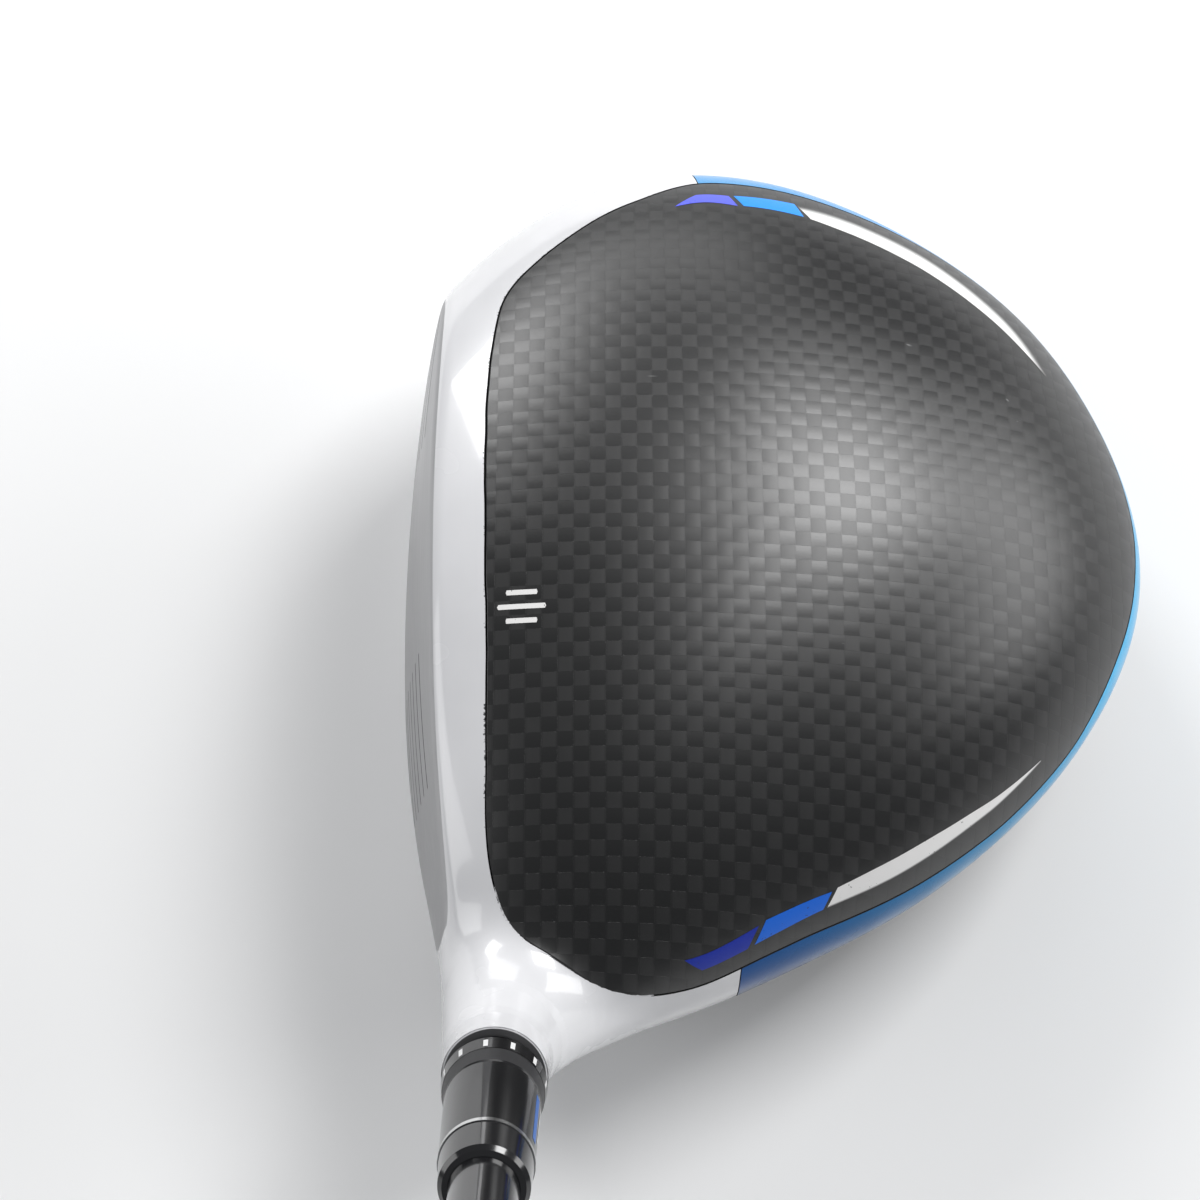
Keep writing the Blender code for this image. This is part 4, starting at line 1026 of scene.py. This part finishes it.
def slot_piece():
    """Filler of the sole slot with a raised lip and a fine centre groove."""
    profile = ((1.28, 0.03), (1.05, 0.06), (1.02, 0.18), (0.9, 0.24), (0.55, 0.24), (0.45, 0.14),
               (0.25, 0.12), (0.0, 0.12))
    rows = []
    for size, lift in profile:
        spots, normal = sole_skin(*slot_outline(size), lift)
        rows.append(spots)
    normal = np.broadcast_to(normal, (len(profile), *normal.shape))
    piece = Piece("slot_insert_filler")
    piece.band(*rows[:2], normals=normal[:2], slot=1)
    piece.band(*rows[2:], normals=normal[2:])
    piece.band(*rows[1:3], slot=1)
    piece.make([SLOT_BLUE, SEAM_AND_SHADE_BLACK], "head", ("slot_insert",), "slot_filler")


def port_screw():
    """Set screw at the toe with a six-lobed socket, in a dark seat."""
    spot, out = skin(np.array([PORT[0]]), np.array([PORT[1]]))
    piece = lobed_screw("toe_port_set_screw", spot[0], out[0], 2.55, 1.25, 0.12)
    piece.make([BLUE, SEAM_AND_SHADE_BLACK], "head", ("toe_port_screw",), "port_screw_metal")


def lobed_screw(name, place, axis, radius, socket, lift):
    """Flat screw head with a bevel and a six-lobed socket, whose wall and floor are near-black
    painted shade.
    """
    first = np.cross(axis, [0.0, 0.0, 1.0])
    first /= np.linalg.norm(first)
    ring = circle(first, axis, 96)
    turn = np.linspace(0, 2 * PI, 96, endpoint=False)
    lobes = (socket * (0.86 + 0.14 * np.cos(6 * turn)))[:, None]
    piece = Piece(name)

    def level(along, size):
        return place + along * axis + size * ring

    piece.band(level(0.03, radius + 0.3), level(0.03, radius), slot=1)
    piece.band(level(-0.4, radius), level(lift - 0.12, radius))
    piece.band(level(lift - 0.12, radius), level(lift, radius - 0.2))
    piece.band(level(lift, radius - 0.2), level(lift, lobes + 0.15))
    piece.band(level(lift, lobes + 0.15), level(lift - 0.15, lobes))
    # Painted shade: the socket's wall and floor take the near-black seam finish.
    piece.band(level(lift - 0.15, lobes), level(lift - 1.6, lobes), slot=1)
    piece.band(level(lift - 1.6, lobes), level(lift - 1.6, 0.01), slot=1)
    return piece


# ---- keel

KEEL_FRONT = -19.0
KEEL_REAR = 60.0
KEEL_FLAT_END = 8.0
KEEL_RISE = 0.0018
WEIGHT_TILT = math.radians(10.0)
WEIGHT_X = 51.0
WEIGHT_RADIUS = 7.5
POCKET_RADIUS = 8.0
POCKET_DEPTH = 4.4


def keel_bottom(x):
    """Height of the keel underside."""
    return np.maximum(x - KEEL_FLAT_END, 0.0) ** 2 * KEEL_RISE


WEIGHT_AXIS = np.array([math.sin(WEIGHT_TILT), 0.0, -math.cos(WEIGHT_TILT)])
WEIGHT_SEAT = np.array([WEIGHT_X, 0.0, keel_bottom(WEIGHT_X) - 0.4])
# inset from the keel's outline and share of its height, from the sole to the underside
KEEL_EDGE = ((-0.2, 1.05), (0.0, 0.9), (0.1, 0.45), (0.2, 0.2), (0.45, 0.06), (0.8, 0.0))


def keel():
    """Keel under the sole with rounded ends and edges, and a pocket for the weight."""
    turn = np.linspace(0, 2 * PI, 240, endpoint=False)
    c = np.cos(turn)
    s = np.sin(turn)
    middle = (KEEL_FRONT + KEEL_REAR) / 2
    x = middle + (KEEL_REAR - middle) * np.sign(c) * np.abs(c) ** 0.42
    half = 9.5 + 4.5 * (x - KEEL_FRONT) / (KEEL_REAR - KEEL_FRONT)
    y = half * np.sign(s) * np.abs(s) ** 0.55
    rows = []
    for inset, level in KEEL_EDGE:
        size = 1 - inset / np.maximum(np.hypot(x - middle, y), 1)
        px = middle + (x - middle) * size
        py = y * size
        top = sole_skin(px, py, 0.0)[0][..., 2]
        low = np.minimum(keel_bottom(px), top - 0.2)
        rows.append(np.stack([px, py, low + (top - low) * level], -1))
    outer = rows[-1]
    spread = np.linspace(0, 1, 40)[:, None]
    flat_x = middle + (outer[:, 0] - middle)[None] * (1 - spread)
    flat_y = outer[:, 1][None] * (1 - spread)
    roof = sole_skin(flat_x, flat_y, 0.0)[0][..., 2]
    low = np.minimum(keel_bottom(flat_x), roof - 0.2)
    piece = Piece("sole_keel_ridge")
    side = np.array(rows)
    piece.patch(side, wrap_cols=True, flip=grid_normals(side, False, True)[2, 60, 1] < 0)
    bottom = np.stack([flat_x, flat_y, low], -1)
    piece.patch(bottom, np.broadcast_to(DOWN, bottom.shape), wrap_cols=True)

    def outside_pocket(points):
        q = points - WEIGHT_SEAT
        return np.linalg.norm(q - (q @ WEIGHT_AXIS)[:, None] * WEIGHT_AXIS, axis=1) > POCKET_RADIUS

    piece.drop_faces(outside_pocket)
    ring = circle(np.array([0.0, 1.0, 0.0]), WEIGHT_AXIS, 96)
    rim = [WEIGHT_SEAT + (POCKET_RADIUS + extra) * ring for extra in (0.35, 0.1, -0.15)]
    for line in rim:
        line[:, 2] = keel_bottom(line[:, 0]) - 0.03
    rim[2][:, 2] += 0.18
    piece.band(*rim, normals=np.broadcast_to(DOWN, (3, 96, 3)))
    piece.band(rim[2], rim[2] - POCKET_DEPTH * WEIGHT_AXIS, slot=1)
    piece.make([KEEL_GREY, SEAM_AND_SHADE_BLACK], "head", ("sole_keel",), "keel_metal")


def weight():
    """Rear weight: bevelled disc with a six-lobed socket."""
    piece = lobed_screw("rear_weight_disc", WEIGHT_SEAT, WEIGHT_AXIS, WEIGHT_RADIUS, 2.3, 0.0)
    piece.make([STEEL, SEAM_AND_SHADE_BLACK], "rear_weight", ("rear_weight",), "weight_steel")


# ---- shaft side

TICK_START = 8.0
TICKS = 12
SLEEVE_TOP = (21.9, 5.85)
SLEEVE_END = -31.4
INSERT_RADIUS = 5.3
SHAFT_START = -21.6
SHAFT_END = 1087.0
GRIP_START = 822.5
GRIP_END = 1087.8
BAND_PITCH = 26.0
CAP_RADIUS = 13.2
CAP_END = 1091.2
CAP_HOLE = 1.2
# height above the shaft base and radius up the gloss taper
TAPER = ((7.2, 6.15), (12.0, 6.08), SLEEVE_TOP)


def sleeve():
    """Loft sleeve: matt chamfer, band of ticks, satin band and gloss taper."""
    profiles = [run((0.3, INSERT_RADIUS), (0.3, 6.1), fine=2), run((0.3, 6.1), (1.75, 6.86)),
                run((1.75, 6.88), (4.2, 6.62), fine=2), run((4.25, 6.58), (6.9, 6.27), fine=2),
                run((6.9, 6.27), TAPER[0]), run(*TAPER, fine=6),
                run(SLEEVE_TOP, (SLEEVE_TOP[0], 4.4))]
    piece = turned("loft_sleeve_upper", profiles, SHAFT_BASE, SHAFT_AXIS, 144,
                   [1, 1, 0, 1, 0, 0, 0])
    for k in range(TICKS):
        sleeve_bar(piece, TICK_START + 360.0 / TICKS * k, 2.6, (2.3, 6.82), (3.8, 6.66), 2)
    piece.make([SLEEVE, SLEEVE_MATT, TICK], "shaft_assembly", ("loft_sleeve",),
               "sleeve_aluminium")
    bars = Piece("sleeve_side_bars")
    sleeve_bar(bars, 17.0, 5.0, (8.6, 6.13), (20.0, 5.895), 0)
    for start in (9.0, 11.4, 13.8, 16.2):
        radius = [np.interp(a, (8.0, 12.0, 21.9), (6.14, 6.08, 5.85)) for a in (start, start + 1.6)]
        sleeve_bar(bars, 2.0, 3.4, (start, radius[0]), (start + 1.6, radius[1]), 1)
    bars.make([printed("sleeve_blue", (0.0, 0.10, 0.42), 0.0), TICK], "shaft_assembly")
    lower = turned("loft_sleeve_insert", [run((SLEEVE_END, 2.6), (SLEEVE_END, 4.8)),
                                          run((SLEEVE_END, 4.8), (SLEEVE_END + 0.5, INSERT_RADIUS)),
                                          run((SLEEVE_END + 0.5, INSERT_RADIUS),
                                              (0.6, INSERT_RADIUS), fine=4)],
                   HOSEL_TOP, HOSEL_AXIS, 96)
    lower.make([BARE], "shaft_assembly", (), "sleeve_aluminium")


def sleeve_bar(piece, middle, half, low, high, slot):
    """Printed bar on the sleeve between two (along, radius) places."""
    turn = np.radians(np.linspace(middle - half, middle + half, 5))
    ring = np.cos(turn)[:, None] * AXIS_X + np.sin(turn)[:, None] * np.cross(SHAFT_AXIS, AXIS_X)
    grid = np.array([SHAFT_BASE + a * SHAFT_AXIS + (r + 0.03) * ring for a, r in (low, high)])
    piece.patch(grid, np.broadcast_to(ring, grid.shape), slot=slot)


def shaft_radius(along):
    """Outer radius of the shaft."""
    return np.interp(along, [60.0, 860.0], [4.25, 7.6])


def shaft_parts():
    """Trim ring, ferrule and shaft."""
    turned("sleeve_trim_line", [run((22.0, 4.5), (22.0, 5.9)), run((22.0, 5.93), (22.75, 5.93)),
                                run((22.75, 5.9), (22.75, 4.5))], SHAFT_BASE, SHAFT_AXIS,
           128).make([SILVER], "shaft_assembly", ("sleeve_trim_ring",), "trim_silver")
    turned("ferrule_body", [run((22.8, 4.5), (22.8, 5.8)), run((22.8, 5.8), (28.0, 5.52), fine=4),
                            run((28.0, 5.52), (28.5, 5.0), fine=2), run((28.5, 5.0), (28.8, 4.3))],
           SHAFT_BASE, SHAFT_AXIS, 128,
           ).make([FERRULE], "shaft_assembly", ("ferrule",), "ferrule_plastic")
    along = np.linspace(SHAFT_START, SHAFT_END, 90)
    turned("graphite_shaft", [np.stack([along, shaft_radius(along)], 1)], SHAFT_BASE, SHAFT_AXIS,
           96).make([GRAPHITE], "shaft_assembly", ("shaft",), "shaft_graphite")


def grip_radius(along):
    """Outer radius of the grip."""
    return np.interp(along, (GRIP_START, 900.0, 960.0, 1030.0, 1076.0, GRIP_END),
                     (9.0, 10.4, 11.2, 12.2, 13.1, 13.3))


def grip():
    """Rubber grip with grooved bands, and its cap."""
    along = np.linspace(GRIP_START, GRIP_END - 0.2, 700)
    from_groove = np.abs((along - 838.0) % BAND_PITCH - BAND_PITCH / 2)
    groove = np.clip(1.6 - from_groove, 0, 1) * 0.35
    profile = np.stack([along, grip_radius(along) - groove], 1)
    mouth = run((821.0, 7.9), (821.2, 8.4), (GRIP_START, 9.0), fine=4)
    piece = turned("grip_sleeve", [mouth, profile, run((GRIP_END, 13.1), (GRIP_END, 8.2))],
                   SHAFT_BASE, SHAFT_AXIS, 72)
    piece.make([RUBBER], "shaft_assembly", ("grip",), "grip_rubber")
    bevel = [(CAP_END - 0.8 * (1 - math.sin(a)), CAP_RADIUS - 0.8 * (1 - math.cos(a)))
             for a in np.linspace(0, PI / 2, 7)]
    cap = turned("grip_end_cap", [run((1088.1, 8.0), (1088.1, CAP_RADIUS)),
                                  run((1088.1, CAP_RADIUS), bevel[0]), np.array(bevel),
                                  run(bevel[-1], (CAP_END, CAP_HOLE + 0.2)),
                                  run((CAP_END, CAP_HOLE + 0.2), (CAP_END - 0.2, CAP_HOLE)),
                                  run((CAP_END - 0.2, CAP_HOLE), (1084.0, CAP_HOLE))],
                 SHAFT_BASE, SHAFT_AXIS, 96)
    cap.make([CAP], "shaft_assembly", ("grip_cap",), "cap_rubber")


def dress():
    """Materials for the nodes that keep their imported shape."""
    looks = (("rear_weight_washer", "washer_steel", (0.5, 0.5, 0.5), 1.0, 0.35),
             ("hosel_screw", "screw_steel", (0.22, 0.22, 0.23), 1.0, 0.35),
             ("screw_retainer", "retainer_steel", (0.5, 0.5, 0.51), 1.0, 0.3),
             ("tuning_resin", "resin", (0.5, 0.33, 0.12), 0.0, 0.4),
             ("grip_tape", "tape", (0.62, 0.58, 0.5), 0.0, 0.75))
    for node, slot, colour, metallic, roughness in looks:
        wear(node, plain(node + "_finish", colour, metallic, roughness, depth=0.01))
    wear("tip_plug", cork())


def wear(node, mat):
    """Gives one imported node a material."""
    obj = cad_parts[node]
    obj.data.materials.clear()
    obj.data.materials.append(mat)


# ---- set

FLOOR_REACH = 40.0
FLOOR_LEVEL = -0.0004
AIM = (0.0, 0.0, 0.04)
# name, place, width, height and power of each light, in metres and watts
LIGHTS = (("key", (0.60, 0.52, 1.08), 0.52, 0.52, 11.0),
          ("toe", (-0.10, 1.35, 0.62), 1.0, 0.45, 3.5),
          ("front_toe", (-0.55, 0.95, 0.82), 0.42, 0.55, 6.5),
          ("face", (-1.35, -0.15, 0.60), 0.8, 0.8, 4.5),
          ("rear", (1.17, 0.30, 0.62), 1.0, 0.5, 7.0))


def place_in_scene(name, data, location, rotation=(0.0, 0.0, 0.0)):
    """Adds an object to the scene."""
    obj = bpy.data.objects.new(name, data)
    obj.location = location
    obj.rotation_euler = rotation
    bpy.context.scene.collection.objects.link(obj)
    return obj


def stage():
    """Pale floor, soft light and the camera."""
    mesh = bpy.data.meshes.new("floor")
    corners = [(x * FLOOR_REACH, y * FLOOR_REACH, FLOOR_LEVEL)
               for x, y in ((-1, -1), (1, -1), (1, 1), (-1, 1))]
    mesh.from_pydata(corners, [], [(0, 1, 2, 3)])
    mesh.materials.append(Shader("floor_white", (0.86, 0.86, 0.86), 0.0, 0.7).mat)
    place_in_scene("floor", mesh, (0.0, 0.0, 0.0))
    world = bpy.data.worlds.new("studio")
    bpy.context.scene.world = world
    world.use_nodes = True
    back = world.node_tree.nodes["Background"]
    back.inputs["Color"].default_value = (0.93, 0.96, 1.0, 1.0)
    back.inputs["Strength"].default_value = 0.21
    bpy.context.scene.view_settings.view_transform = "Standard"

    for name, place, wide, high, power in LIGHTS:
        light = bpy.data.lights.new(name, "AREA")
        light.shape = "RECTANGLE"
        light.size = wide
        light.size_y = high
        light.energy = power
        turn = (Vector(AIM) - Vector(place)).to_track_quat("-Z", "Y").to_euler()
        place_in_scene(name, light, place, turn)

    camera = bpy.data.cameras.new("camera")
    camera.lens = 69.0
    camera.clip_start = 0.005
    bpy.context.scene.camera = place_in_scene("camera", camera, (-0.0184, -0.1227, 0.3592),
                                              (math.radians(20.0), 0.0, 0.0))


stage()
crown_panel()
sole_panel()
rear_ring()
front_body()
club_face()
sleeve()
shaft_parts()
stripes()
alignment_mark()
slot_piece()
port_screw()
keel()
weight()
grip()
dress()
